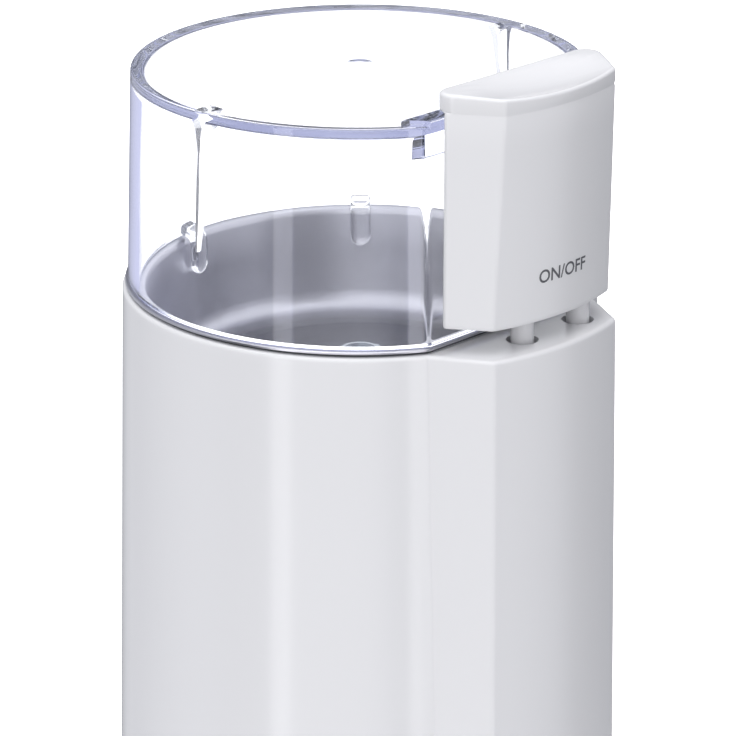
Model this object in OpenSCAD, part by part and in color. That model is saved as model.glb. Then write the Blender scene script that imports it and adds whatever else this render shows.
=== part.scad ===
// Electric spice grinder with a clear D-shaped lid and a tall push button at
// its side. +Z is up, the origin is on the table under the middle of the
// bounding box, and the button faces -Y. Radii in plan are about the motor axis.

/* [Housing] */
// Height of the deck above the table
deck_z = 132; // [128:1:140]
// Radius of the round body at the deck
body_r = 43.7; // [43.5:0.1:46]
// How far the switch bay's outer face stands out from the round body
bay_depth = 7.2; // [7.1:0.1:9]
// Half-width where a flank of the bay leaves the round body
bay_root_w = 22; // [21.5:0.1:23]
// Half-width where a flank of the bay meets its outer face
bay_tip_w = 16.2; // [16:0.1:17]
// Radius of the bay's two upright corners
bay_corner_r = 1.5; // [1:0.1:3]
// How much wider the round body is at the hem than at the deck
body_flare = 3; // [1:0.1:3.4]
// How much wider the bay's outer face is at the hem than at the deck
bay_flare = 1.9; // [1:0.1:2.4]
// Thickness of the housing's wall
wall = 2.4; // [2:0.1:2.6]
// Thickness of the deck
deck_t = 2.4; // [2:0.1:3]
// Height of the housing's hem above the table
hem_z = 2; // [1.6:0.1:2.4]
// Bevel round the deck's edge
deck_bevel = 0.8; // [0.4:0.1:1]

/* [Base] */
// Thickness of the base plate
base_t = 2.8; // [2.4:0.1:4]
// Radial gap between base plate and housing
base_gap = 0.25; // [0.15:0.05:0.5]
// Radius of a rubber foot
foot_r = 5; // [4:0.5:6]
// Depth of the seat that holds a foot
foot_seat = 1.4; // [1:0.1:1.6]
// How far the feet's centres stand in from the round body
foot_inset = 11.7; // [11:0.1:14]
// Width of a vent slot in the base
vent_w = 2.4; // [1.5:0.1:3]
// Length of the longest vent slot
vent_l = 30; // [20:1:34]
// Height of the cord inlet above the table
inlet_z = 17; // [15:1:22]
// Bore radius of the cord inlet's bush
inlet_r = 3.3; // [2.8:0.1:3.8]

/* [Bowl] */
// Width of the deck that shows round the bowl's flange
deck_land = 0.5; // [0.3:0.1:1]
// Width of the bowl's flange
flange_w = 4; // [3.6:0.1:5]
// Depth of the bowl below its flange
bowl_depth = 20.5; // [19:0.5:22]
// How far the edge of the bowl's floor stands in from its mouth
floor_inset = 8.2; // [6.5:0.1:9]
// Thickness of the steel sheet
sheet_t = 0.6; // [0.5:0.1:0.8]
// Thickness of the seal under the flange
seal_t = 0.5; // [0.4:0.1:0.8]

/* [Lid] */
// Height of the lid from its foot to its top
lid_h = 39.8; // [36:0.1:41]
// Width of the flange that shows round the lid's foot
lid_land = 0.5; // [0.3:0.1:1]
// Draft of the lid's round wall, from foot to top
lid_draft = 1.2; // [0.6:0.1:1.6]
// Radius of the lid's top edge
lid_edge_r = 1.6; // [1:0.1:1.8]
// Thickness of the lid's wall and top
lid_t = 2; // [1.6:0.1:2.2]
// How far the lid's flat wall stands in from the round body
lid_cut = 7.7; // [7.4:0.1:9]
// Height of the rail at the top of the flat wall
rail_h = 7.4; // [6:0.1:8]
// How far the rail stands above the lid's top
rail_rise = 1.4; // [1:0.1:1.6]
// Thickness of the rail, from its face inwards
rail_t = 2.8; // [2.4:0.1:3.4]
// Length of a stiffening rib down the inside of the lid
rib_l = 24; // [20:0.5:28]
// How far a rib stands in from the wall
rib_depth = 2.4; // [1.5:0.1:3]
// Reach of a locating tongue below the flange
tongue_drop = 7; // [6:0.5:10]
// Width of a locating tongue
tongue_w = 4; // [3:0.1:5]
// Gap between a tongue and the bowl
tongue_gap = 0.4; // [0.3:0.05:0.6]

/* [Button] */
// Height of the button, without its legs
button_h = 42.4; // [38:0.1:44]
// Gap between button and deck at rest
button_lift = 5; // [5:0.1:6]
// Travel of the button
button_travel = 4; // [3:0.1:4]
// How far the top of the button's outer face stays inside the bay's
button_inset = 0.2; // [0.2:0.1:0.8]
// How far the button's outer face leans out from its foot to its top
button_lean = 1.2; // [0.6:0.1:1.4]
// Half-width of the button at its inner wall
button_root_w = 20.6; // [20:0.1:21]
// Half-width where a flank of the button meets its outer face
button_tip_w = 14.3; // [14:0.1:15.5]
// Depth of the finger dish in the button's top
dish_depth = 1.5; // [0.8:0.1:1.8]
// Gap between the lid's flat wall and the button's lip
lip_gap = 0.4; // [0.35:0.05:0.6]
// How far the lip overhangs the button's inner wall
lip_over = 2.6; // [1.5:0.1:3]
// Height of the lip
lip_h = 3.4; // [2.6:0.1:4]
// Wall thickness of the button
button_t = 2.2; // [1.8:0.1:2.4]
// Radius of a button leg
leg_r = 2.1; // [1.9:0.1:2.2]
// Half the distance between the two legs
leg_x = 7.4; // [7:0.1:8]
// How far the pair of legs stands to the right of the button's middle
leg_shift = 3.4; // [2.6:0.1:3.4]
// How far the legs stand in from the bay's outer face
leg_inset = 7.1; // [7.1:0.1:7.6]
// Gap round a leg in the deck
leg_gap = 0.8; // [0.4:0.1:1]
// Free length of a return spring's body between its seats
spring_h = 14.4; // [12:0.1:16]
// Wire radius of the return springs
spring_wire_r = 0.3; // [0.25:0.05:0.35]

/* [Motor] */
// Height of the lamination stack
stack_h = 24; // [20:1:26]
// Room left between the laminations' sides and the round body
stack_room = 13.7; // [13:0.1:15]
// Air gap between armature and stack
air_gap = 0.5; // [0.4:0.05:0.8]
// Number of armature slots and commutator bars
slots = 12; // [10:1:14]
// Radius of the motor shaft
shaft_r = 3; // [2.5:0.1:3.2]
// Running fit of the shaft in its bushes
shaft_fit = 0.04; // [0.02:0.01:0.08]
// Length of the commutator
commutator_h = 10; // [9:0.5:11]

/* [Blade] */
// Reach of a blade wing from the shaft
blade_reach = 28; // [24:0.5:29]
// Thickness of the blade
blade_t = 1.2; // [1:0.1:1.6]
// Width of a blade wing at its root
blade_w = 11; // [9:0.5:12]
// Pitch of a blade wing
blade_pitch = 9; // [4:1:12]

/* [Hidden] */
$fn = 64;
eps = 0.01;

// Vertical order
flange_z = deck_z + seal_t;
rim_z = flange_z + sheet_t;
lid_gap = 0.1;
lid_z = rim_z + lid_gap;
lid_top_z = lid_z + lid_h;
button_z = deck_z + button_lift;
button_top_z = button_z + button_h;
bowl_floor_z = rim_z - bowl_depth;
bowl_under_z = bowl_floor_z - sheet_t;
base_z = hem_z + 0.6;
base_top_z = base_z + base_t;

// Plan sizes that follow the round body
bay_r = body_r + bay_depth;
flange_r = body_r - deck_land;
bowl_r = flange_r - flange_w;
bowl_floor_r = bowl_r - floor_inset;
lid_foot_r = flange_r - lid_land;
lid_top_r = lid_foot_r - lid_draft;
lid_chord = body_r - lid_cut;
flange_over = 1.6;
bowl_chord = lid_chord - flange_w + 1.2;
flange_chord = lid_chord + flange_over;
foot_ring_r = body_r - foot_inset;
leg_y = bay_r - leg_inset;
stack_w = 2 * (body_r - stack_room);
stack_d = stack_w * 5 / 6;
armature_r = stack_w / 4;
commutator_r = armature_r * 2 / 3;

// Plan offsets: the button's bay pushes the motor axis back from the origin
axis_y = (bay_r + bay_flare - body_r - body_flare) / 2;
fit_gap = 0.1;

// Bay outline: root point J on the round body, tip point K on the bay's arc
bay_root = [bay_root_w, -sqrt(body_r * body_r - bay_root_w * bay_root_w)];
bay_tip = [bay_tip_w, -sqrt(bay_r * bay_r - bay_tip_w * bay_tip_w)];
flank_dir = (bay_tip - bay_root) / norm(bay_tip - bay_root);
corner_steps = 5;
flank_run = 4;
cover = 8;

function inward(dir) = [dir[1], -dir[0]];
function arc_points(c, r, a0, a1) =
    [for (i = [0:corner_steps])
        let(a = a0 + (a1 - a0) * i / corner_steps)
        c + r * [cos(a), sin(a)]];

// Centre of the corner arc rc where a flank, drawn in by inset, meets the radius r
function corner_centre(root, dir, inset, r, rc) =
    let(p = root + (inset + rc) * inward(dir))
    let(pu = p * dir)
    p + dir * (-pu + sqrt(pu * pu - p * p + (r - rc) * (r - rc)));

// The corner at the end of a flank, and a point well outside the arc beyond it
function flank_end(root, dir, inset, r, rc) =
    let(c = corner_centre(root, dir, inset, r, rc))
    let(n = -inward(dir))
    concat(arc_points(c, rc, atan2(n[1], n[0]), atan2(c[1], c[0])), [c * (r + cover) / norm(c)]);

// Right-hand side of the bay outline, from inside the body out past the arc
function bay_side(inset, r) = concat(
    [bay_root + inset * inward(flank_dir) - flank_run * flank_dir],
    flank_end(bay_root, flank_dir, inset, r, max(bay_corner_r - inset, 0.5)));

function mirrored(points) = [for (i = [len(points) - 1:-1:0]) [-points[i][0], points[i][1]]];
function bay_outline(inset, r) = concat(bay_side(inset, r), mirrored(bay_side(inset, r)));

// Growth of the radii at height z, from nothing at the deck
function drop_at(z) = (deck_z - z) / (deck_z - hem_z);
function flare_at(z) = body_flare * drop_at(z);
function bay_r_at(z) = bay_r + bay_flare * drop_at(z);

module on_axis() {
    translate([0, axis_y, 0]) children();
}

// Copies children at each angle, at distance r from the motor axis
module ring_of(angles, r) {
    for (a = angles) rotate(a) translate([r, 0, 0]) children();
}

module both_sides() {
    children();
    mirror([1, 0, 0]) children();
}

module cone_from(z0, r0, z1, r1, bevel) {
    rotate_extrude($fn = 180)
        polygon(bevel > 0
            ? [[0, z0], [r0, z0], [r1, z1 - bevel], [r1 - bevel, z1], [0, z1]]
            : [[0, z0], [r0, z0], [r1, z1], [0, z1]]);
}

// The housing's form between two heights, drawn in by inset all round
module body_form(inset, z0, z1, bevel = 0) {
    cone_from(z0, body_r + flare_at(z0) - inset, z1, body_r + flare_at(z1) - inset, bevel);
    intersection() {
        cone_from(z0, bay_r_at(z0) - inset, z1, bay_r_at(z1) - inset, bevel);
        translate([0, 0, z0])
            linear_extrude(z1 - z0, scale = bay_r_at(z1) / bay_r_at(z0))
                scale(bay_r_at(z0) / bay_r) polygon(bay_outline(inset, bay_r - inset));
    }
}

// Everything on the bowl's side of a plane at distance chord from the axis
module behind(chord, z0, z1) {
    reach = 2 * bay_r;
    translate([-reach, -chord, z0]) cube([2 * reach, chord + reach, z1 - z0]);
}

// A round disc with its button side cut straight
module d_disc(r, chord, z0, z1) {
    intersection() {
        translate([0, 0, z0]) cylinder(h = z1 - z0, r = r, $fn = 180);
        behind(chord, z0 - 1, z1 + 1);
    }
}

module rounded_rect(w, d, r) {
    square([w - 2 * r, d], center = true);
    square([w, d - 2 * r], center = true);
    for (x = [-1, 1], y = [-1, 1])
        translate([x * (w / 2 - r), y * (d / 2 - r)]) circle(r = r, $fn = 32);
}

// Pan-head screw, head down at z = 0, shank upwards
module screw(shank_r, shank_l, head_r, head_h) {
    difference() {
        translate([0, 0, -head_h]) cylinder(h = head_h, r = head_r, $fn = 32);
        for (a = [0, 90]) rotate(a)
            translate([-head_r * 0.6, -head_h * 0.17, -head_h - eps])
                cube([head_r * 1.2, head_h * 0.34, head_h * 0.55]);
    }
    cylinder(h = shank_l, r = shank_r, $fn = 32);
}

// Round-wire helical spring standing on z = 0, ends inside its height
module coil_spring(r, wire_r, h, turns, per_turn, sides) {
    n = turns * per_turn;
    rings = [for (i = [0:n])
        let(a = 360 * i / per_turn, z = wire_r + (h - 2 * wire_r) * i / n)
        [for (j = [0:sides - 1])
            let(b = 360 * j / sides)
            [(r + wire_r * cos(b)) * cos(a), (r + wire_r * cos(b)) * sin(a), z + wire_r * sin(b)]]];
    points = [for (ring = rings) for (p = ring) p];
    tube = [for (i = [0:n - 1]) for (j = [0:sides - 1])
        let(k = (j + 1) % sides)
        [i * sides + j, (i + 1) * sides + j, (i + 1) * sides + k, i * sides + k]];
    polyhedron(points,
        concat(tube, [[for (j = [0:sides - 1]) j]], [[for (j = [sides - 1:-1:0]) n * sides + j]]),
        convexity = 6);
}

// ---- Housing ----------------------------------------------------------------

boss_r = 4;
boss_merge = 0.6;
base_boss_angles = [40, 140, 215, 325];
base_boss_h = 14;
base_boss_ring = body_r + flare_at(base_top_z + base_boss_h) - wall - boss_r + boss_merge;
carrier_angles = [90, 205, 335];
carrier_t = 3.5;
carrier_top_z = bowl_under_z - 12;
carrier_z = carrier_top_z - carrier_t;
carrier_boss_h = 8.5;
carrier_boss_ring = body_r + flare_at(carrier_top_z + carrier_boss_h) - wall - boss_r + boss_merge;
screw_r = 1.5;
screw_head_r = 2.9;
screw_head_h = 2;
guide_boss_r = 3.2;
guide_boss_at = [15.6, 5.6 - body_r];
retainer_t = 1.6;
retainer_gap = 0.3;
spring_top_z = deck_z - deck_t - retainer_gap - retainer_t;
guide_top_z = spring_top_z - spring_h;
guide_t = 3;
opening_gap = 0.3;
inlet_sleeve_r = 5;
pilot_depth = 12;

module legs_at() {
    translate([leg_shift, 0, 0]) both_sides() translate([leg_x, -leg_y, 0]) children();
}

module housing() {
    color("white") on_axis() {
        difference() {
            body_form(0, hem_z, deck_z, deck_bevel);
            body_form(wall, hem_z - 1, deck_z - deck_t);
            d_disc(bowl_r + sheet_t + opening_gap, bowl_chord + sheet_t + opening_gap,
                deck_z - deck_t - 1, deck_z + 1);
            legs_at() translate([0, 0, deck_z - deck_t - 1])
                cylinder(h = deck_t + 2, r = leg_r + leg_gap, $fn = 48);
            translate([0, body_r - 2 * wall, inlet_z]) rotate([-90, 0, 0])
                cylinder(h = 4 * wall, r = inlet_sleeve_r + fit_gap / 2, $fn = 48);
        }
        ring_of(base_boss_angles, base_boss_ring) translate([0, 0, base_top_z])
            pilot_boss(boss_r, base_boss_h);
        ring_of(carrier_angles, carrier_boss_ring) translate([0, 0, carrier_top_z])
            pilot_boss(boss_r, carrier_boss_h);
        both_sides() translate([guide_boss_at[0], guide_boss_at[1], guide_top_z])
            pilot_boss(guide_boss_r, deck_z - deck_t - guide_top_z + eps);
    }
}

// Round boss standing on z = 0 with a blind screw hole from below
module pilot_boss(r, h) {
    difference() {
        cylinder(h = h, r = r, $fn = 40);
        translate([0, 0, -eps]) cylinder(h = min(pilot_depth, h - 1.5), r = screw_r + fit_gap / 2, $fn = 32);
    }
}

// ---- Base -------------------------------------------------------------------

foot_angles = [28, 152, 208, 332];
foot_h = base_z + foot_seat;
vent_pitch = 5;
vent_rows = 5;
head_sink = 2.2;

module base_plate() {
    color("whitesmoke") on_axis() difference() {
        body_form(wall + base_gap, base_z, base_top_z);
        ring_of(foot_angles, foot_ring_r) translate([0, 0, base_z - eps])
            cylinder(h = foot_seat + eps, r = foot_r + fit_gap, $fn = 48);
        ring_of(base_boss_angles, base_boss_ring) {
            translate([0, 0, base_z - 1]) cylinder(h = base_t + 2, r = screw_r + fit_gap, $fn = 32);
            translate([0, 0, base_z - eps])
                cylinder(h = head_sink + 2 * eps, r = screw_head_r + fit_gap, $fn = 32);
        }
        for (i = [0:vent_rows - 1]) {
            off = i - (vent_rows - 1) / 2;
            translate([0, off * vent_pitch, base_z - 1])
                linear_extrude(base_t + 2)
                    rounded_rect(vent_l - abs(off) * vent_pitch, vent_w, vent_w / 2 - eps);
        }
    }
}

module base_screws() {
    color("silver") on_axis()
        ring_of(base_boss_angles, base_boss_ring)
            translate([0, 0, base_z + head_sink])
                screw(screw_r, pilot_depth - head_sink, screw_head_r, screw_head_h);
}

module rubber_feet() {
    color("dimgray") on_axis()
        ring_of(foot_angles, foot_ring_r) rotate_extrude()
            polygon([[0, 0], [foot_r - 0.8, 0], [foot_r, 0.8], [foot_r, foot_h], [0, foot_h]]);
}

inlet_flange_r = 7;
inlet_flange_t = 1.6;
inlet_outer_y = body_r + flare_at(inlet_z) - 0.3;
inlet_flange_y = body_r + flare_at(inlet_z) - wall - 0.8;

module cord_inlet_bush() {
    color("black") on_axis()
        translate([0, 0, inlet_z]) rotate([-90, 0, 0]) rotate_extrude()
            polygon([
                [inlet_r, inlet_flange_y - inlet_flange_t], [inlet_flange_r, inlet_flange_y - inlet_flange_t],
                [inlet_flange_r, inlet_flange_y], [inlet_sleeve_r, inlet_flange_y],
                [inlet_sleeve_r, inlet_outer_y], [inlet_r, inlet_outer_y]
            ]);
}

// ---- Bowl -------------------------------------------------------------------

// Inside of the bowl from mouth to floor, as fractions of its depth
bowl_profile = [
    [bowl_r, 0], [bowl_r - 0.6, 0.4], [bowl_r - 1.3, 0.78], [bowl_r - 2.1, 0.89],
    [bowl_r - 3.4, 0.94], [bowl_floor_r + 1.2, 0.965], [bowl_floor_r, 1]
];
collar_r = 6.5;

module bowl_solid(grow, top_z) {
    intersection() {
        rotate_extrude($fn = 180)
            polygon(concat(
                [[0, top_z], [bowl_r + grow, top_z]],
                [for (p = bowl_profile) [p[0] + grow, rim_z - p[1] * bowl_depth - grow * p[1]]],
                [[0, bowl_floor_z - grow]]
            ));
        behind(bowl_chord + grow, bowl_floor_z - 5, top_z + 1);
    }
}

module grinding_bowl() {
    color("silver") on_axis() difference() {
        union() {
            bowl_solid(sheet_t, rim_z);
            d_disc(flange_r, flange_chord, flange_z, rim_z);
        }
        bowl_solid(0, rim_z + 1);
        translate([0, 0, bowl_under_z - 1]) cylinder(h = sheet_t + 2, r = collar_r + fit_gap, $fn = 48);
    }
}

seal_in = 0.8;

module bowl_seal() {
    color("dimgray") on_axis() difference() {
        d_disc(flange_r - seal_in, flange_chord - seal_in, deck_z, flange_z);
        d_disc(bowl_r + sheet_t + opening_gap, bowl_chord + sheet_t + opening_gap, deck_z - 1, flange_z + 1);
    }
}

// Threaded collar that clamps the bowl's floor to the motor carrier
collar_flange_r = 9;
collar_flange_t = 1.4;
collar_l = 9;
seal_bore_gap = 0.3;
shaft_seal_h = 3;
shaft_seal_r = 5;

module bowl_collar() {
    color("gainsboro") on_axis() difference() {
        union() {
            translate([0, 0, bowl_floor_z]) cylinder(h = collar_flange_t, r = collar_flange_r, $fn = 48);
            translate([0, 0, bowl_floor_z - collar_l]) cylinder(h = collar_l + eps, r = collar_r, $fn = 48);
        }
        translate([0, 0, bowl_floor_z - collar_l - 1])
            cylinder(h = collar_l + collar_flange_t + 2, r = shaft_r + 2 * seal_bore_gap, $fn = 40);
        translate([0, 0, bowl_floor_z + collar_flange_t - shaft_seal_h])
            cylinder(h = shaft_seal_h + 1, r = shaft_seal_r, $fn = 40);
    }
}

module shaft_seal() {
    color("black") on_axis() translate([0, 0, bowl_floor_z + collar_flange_t - shaft_seal_h])
        difference() {
            cylinder(h = shaft_seal_h, r = shaft_seal_r, $fn = 40);
            translate([0, 0, -1]) cylinder(h = shaft_seal_h + 2, r = shaft_r + seal_bore_gap, $fn = 40);
        }
}

// ---- Lid --------------------------------------------------------------------

edge_steps = 6;
rail_slope = 0.5;
rib_w = 2.4;
rib_flare = 6.4;
rib_tip = 1.6;
tongue_t = 1.9;
tongue_root_h = 1.2;
tongue_root_z = 0.3;
tongue_angles = [-12, 44, 100];
gate_r = 2.9;
gate_depth = 0.3;
lid_inner_top_z = lid_top_z - lid_t;

function lid_edge(r, z, edge) =
    [for (i = [0:edge_steps])
        let(a = 90 * i / edge_steps)
        [r - edge + edge * cos(a), z - edge + edge * sin(a)]];

module lid_solid(inset, z0, z1) {
    intersection() {
        rotate_extrude($fn = 180)
            polygon(concat(
                [[0, z0], [lid_foot_r - inset, z0]],
                lid_edge(lid_top_r - inset, z1, max(lid_edge_r - inset, 0.6)),
                [[0, z1]]
            ));
        behind(lid_chord - inset, z0 - 1, z1 + 1);
    }
}

module lid() {
    color("lightblue", 0.5) on_axis() {
        difference() {
            lid_solid(0, lid_z, lid_top_z);
            lid_solid(lid_t, lid_z - 1, lid_inner_top_z);
            translate([0, 0, lid_top_z - gate_depth]) cylinder(h = 1, r = gate_r, $fn = 48);
        }
        lid_rail();
        both_sides() lid_rib();
        ring_of(tongue_angles, 0) lid_tongue();
    }
}

// Raised rail along the flat wall's top, sloping down towards the button
module lid_rail() {
    rail_z = lid_top_z + rail_rise - rail_h;
    intersection() {
        translate([-lid_top_r, 0, 0]) rotate([90, 0, 90]) linear_extrude(2 * lid_top_r)
            polygon([
                [-lid_chord, rail_z], [-lid_chord, lid_top_z + rail_rise - rail_slope],
                [-lid_chord + rail_t, lid_top_z + rail_rise], [-lid_chord + rail_t, rail_z]
            ]);
        translate([0, 0, rail_z - 1]) cylinder(h = rail_h + 2, r = lid_top_r - lid_t / 4, $fn = 180);
    }
}

// Tapered rib at the end of the lid's widest line, flared where it meets the top
module lid_rib() {
    rib_z = lid_inner_top_z + eps;
    translate([lid_top_r - lid_t - rib_depth, 0, 0]) rotate([90, 0, 90])
        linear_extrude(rib_depth + lid_t / 2)
            polygon([
                [-rib_flare / 2, rib_z], [-rib_w / 2, rib_z - rib_flare],
                [-rib_tip / 2, rib_z - rib_l], [rib_tip / 2, rib_z - rib_l],
                [rib_w / 2, rib_z - rib_flare], [rib_flare / 2, rib_z]
            ]);
}

// Tongue that hangs inside the bowl's mouth from a root on the lid's wall
module lid_tongue() {
    out_r = bowl_r - tongue_gap - 0.4;
    root_z = lid_z + tongue_root_z;
    tip_z = rim_z - tongue_drop + tongue_w / 2;
    translate([out_r - tongue_t, -tongue_w / 2, tip_z])
        cube([tongue_t, tongue_w, root_z + tongue_root_h - tip_z]);
    translate([out_r - tongue_t, 0, tip_z]) rotate([0, 90, 0])
        cylinder(h = tongue_t, r = tongue_w / 2, $fn = 40);
    translate([out_r - tongue_t, -tongue_w / 2, root_z])
        cube([lid_foot_r - lid_t / 2 - out_r + tongue_t - 0.6, tongue_w, tongue_root_h]);
}

// ---- Button -----------------------------------------------------------------

lip_chord = lid_chord + lip_gap;
inner_chord = lip_chord + lip_over;
button_r = bay_r - button_inset;
button_root = [button_root_w, -inner_chord];
button_tip = [button_tip_w, -sqrt(button_r * button_r - button_tip_w * button_tip_w)];
button_dir = (button_tip - button_root) / norm(button_tip - button_root);
button_corner_r = 1.6;
wall_corner_r = 0.8;
lip_corner_r = 3;
leg_boss_r = 3.4;
leg_boss_z = button_z + 4;
button_rib_t = 1.6;
leg_end_z = guide_top_z - guide_t - 0.8;

// Finger dish: an arc across the button, swept on a wider arc along it
dish_land = 0.5;
dish_mid_y = bay_r - 5.9;
dish_reach = dish_mid_y - lip_chord - dish_land;
dish_r = (dish_reach * dish_reach + dish_depth * dish_depth) / (2 * dish_depth);
dish_sweep_r = 105;
dish_z = button_top_z - dish_depth;

function button_r_at(z) = button_r - button_lean * (button_top_z - z) / button_h;

// Right-hand side of the button's outline, from its flat side out past the arc
function button_side(inset, chord, near_r) =
    let(rc = max(near_r - inset, 0.3))
    let(n = -inward(button_dir))
    let(p = button_root - (inset + rc) * n)
    let(c = p + button_dir * (-chord - inset - rc - p[1]) / button_dir[1])
    concat(
        arc_points(c, rc, 90, atan2(n[1], n[0])),
        flank_end(button_root, button_dir, inset, button_r - inset, max(button_corner_r - inset, 0.5)));

module button_block(inset, chord, near_r, z0, z1) {
    side = button_side(inset, chord, near_r);
    intersection() {
        cone_from(z0, button_r_at(z0) - inset, z1, button_r_at(z1) - inset, 0);
        translate([0, 0, z0 - 1]) linear_extrude(z1 - z0 + 2) polygon(concat(side, mirrored(side)));
    }
}

module finger_dish() {
    translate([0, -dish_mid_y, dish_z + dish_sweep_r]) rotate([90, 0, 0])
        rotate_extrude($fn = 240) translate([dish_sweep_r - dish_r, 0]) circle(r = dish_r, $fn = 120);
}

module button() {
    color("white") on_axis() {
        difference() {
            union() {
                button_block(0, inner_chord, wall_corner_r, button_z, button_top_z);
                button_block(0, lip_chord, lip_corner_r, button_top_z - lip_h, button_top_z);
            }
            button_block(button_t, inner_chord, wall_corner_r, button_z - 1, dish_z - button_t);
            finger_dish();
        }
        intersection() {
            union() {
                for (x = [-leg_x, 0, leg_x])
                    translate([leg_shift + x - button_rib_t / 2, -2 * bay_r, leg_boss_z + 2])
                        cube([button_rib_t, 2 * bay_r, dish_z - leg_boss_z - 3]);
                legs_at() translate([0, 0, leg_boss_z])
                    cylinder(h = dish_z - leg_boss_z - 1, r = leg_boss_r, $fn = 40);
            }
            button_block(button_t / 2, inner_chord, wall_corner_r, button_z, button_top_z);
        }
        legs_at() {
            translate([0, 0, leg_end_z]) cylinder(h = leg_boss_z - leg_end_z + 1, r = leg_r, $fn = 40);
            translate([0, 0, leg_end_z]) sphere(r = leg_r, $fn = 40);
        }
    }
}

retainer_r = 3.2;

module leg_retainers() {
    color("dimgray") on_axis() legs_at() translate([0, 0, spring_top_z]) difference() {
        cylinder(h = retainer_t, r = retainer_r, $fn = 40);
        translate([0, 0, -1]) cylinder(h = retainer_t + 2, r = leg_r, $fn = 40);
    }
}

spring_r = 2.75;
spring_turns = 6;
spring_clear = 0.05;

module return_springs() {
    color("silver") on_axis() legs_at() translate([0, 0, guide_top_z + spring_clear])
        coil_spring(spring_r, spring_wire_r, spring_h - 2 * spring_clear, spring_turns, 16, 6);
}

// Bracket under the deck: guides the legs, seats the springs, carries the switch
guide_w = 40;
guide_back = 3.5;
guide_in_y = bay_r - 11.9;
guide_out_y = bay_r - 2.9;
panel_t = 1.9;
panel_w = 23;
panel_drop = 22;
guide_hole_gap = 0.25;
pivot_r = 0.8;

module button_guide() {
    panel_z = guide_top_z - panel_drop;
    color("gainsboro") on_axis() difference() {
        union() {
            intersection() {
                translate([-guide_w / 2, -guide_out_y, guide_top_z - guide_t])
                    cube([guide_w, guide_out_y - guide_in_y + guide_back, guide_t]);
                body_form(wall + base_gap, guide_top_z - guide_t - 1, guide_top_z + 1);
            }
            translate([-panel_w / 2, -guide_in_y - panel_t, panel_z])
                cube([panel_w, panel_t, panel_drop - eps]);
        }
        legs_at() translate([0, 0, guide_top_z - guide_t - 1])
            cylinder(h = guide_t + 2, r = leg_r + guide_hole_gap, $fn = 40);
        both_sides() translate([guide_boss_at[0], guide_boss_at[1], guide_top_z - guide_t - 1])
            cylinder(h = guide_t + 2, r = screw_r + fit_gap, $fn = 32);
        both_sides() translate([switch_hole_x, -guide_in_y - panel_t - 1, switch_hole_z])
            rotate([-90, 0, 0]) cylinder(h = panel_t + 2, r = switch_screw_r + fit_gap / 2, $fn = 32);
    }
}

module guide_screws() {
    color("silver") on_axis() both_sides()
        translate([guide_boss_at[0], guide_boss_at[1], guide_top_z - guide_t])
            screw(screw_r, pilot_depth, screw_head_r, screw_head_h);
}

// ---- Switch -----------------------------------------------------------------

switch_w = 20;
switch_d = 6.2;
switch_h = 10;
switch_in_y = guide_in_y + panel_t;
switch_top_z = leg_end_z - button_travel - 6;
switch_z = switch_top_z - switch_h;
switch_mid_y = switch_in_y + switch_d / 2;
switch_screw_r = 1.1;
switch_hole_x = 5;
switch_hole_z = switch_z + 2.6;
pivot_x = 8.5;
pivot_z = switch_top_z + 1.8;
lever_t = 0.5;
lever_w = 4;
touch_gap = 0.25;
plunger_x = 2;
plunger_r = 1.2;
plunger_l = 4;
arm_leg = pivot_x + leg_x - leg_shift;
arm_plunger = pivot_x - plunger_x;

// Lever slope that keeps touch_gap under a leg end pushed down by drop
function lever_slope(drop) =
    let(a = leg_end_z - drop - pivot_z, b = arm_leg, c = leg_r + touch_gap + lever_t / 2)
    acos(c / sqrt(a * a + b * b)) - atan2(b, a);

// Height above the pivot of the plunger's ball centre under a lever at slope s
function plunger_lift(s) =
    (arm_plunger * sin(s) - (plunger_r + touch_gap + lever_t / 2)) / cos(s);

module switch_body() {
    ear_t = (switch_d - lever_w) / 2 - 0.3;
    color("black") on_axis() {
        difference() {
            translate([-switch_w / 2, -switch_in_y - switch_d, switch_z])
                cube([switch_w, switch_d, switch_h]);
            translate([plunger_x, -switch_mid_y, switch_top_z - 5])
                cylinder(h = 6, r = plunger_r + fit_gap / 2, $fn = 32);
            both_sides() translate([switch_hole_x, -switch_in_y - switch_d - 1, switch_hole_z])
                rotate([-90, 0, 0]) cylinder(h = switch_d + 2, r = switch_screw_r + fit_gap / 2, $fn = 32);
        }
        for (s = [-1, 1])
            translate([pivot_x - 1.4, -switch_mid_y + s * (lever_w / 2 + 0.3 + ear_t / 2) - ear_t / 2,
                switch_top_z - eps])
                cube([2.8, ear_t, pivot_z - switch_top_z + 1.4]);
        translate([pivot_x, -switch_mid_y - switch_d / 2 + 0.1, pivot_z]) rotate([-90, 0, 0])
            cylinder(h = switch_d - 0.2, r = pivot_r, $fn = 32);
    }
}

tab_w = 3.2;
tab_t = 0.5;
tab_l = 5;
tab_places = [-0.375, -0.05, 0.375];

module switch_terminals() {
    color("gold") on_axis()
        for (k = tab_places)
            translate([k * switch_w - tab_w / 2, -switch_mid_y - tab_t / 2, switch_z - tab_l])
                cube([tab_w, tab_t, tab_l]);
}

module switch_screws() {
    color("silver") on_axis() both_sides()
        translate([switch_hole_x, -switch_in_y - switch_d, switch_hole_z]) rotate([-90, 0, 0])
            screw(switch_screw_r, switch_d + panel_t - 0.2, 1.9, 0.7);
}

module switch_plunger() {
    ball_z = pivot_z + plunger_lift(lever_slope(0));
    color("red") on_axis() translate([plunger_x, -switch_mid_y, ball_z]) {
        sphere(r = plunger_r, $fn = 32);
        translate([0, 0, -plunger_l]) cylinder(h = plunger_l, r = plunger_r, $fn = 32);
    }
}

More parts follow.
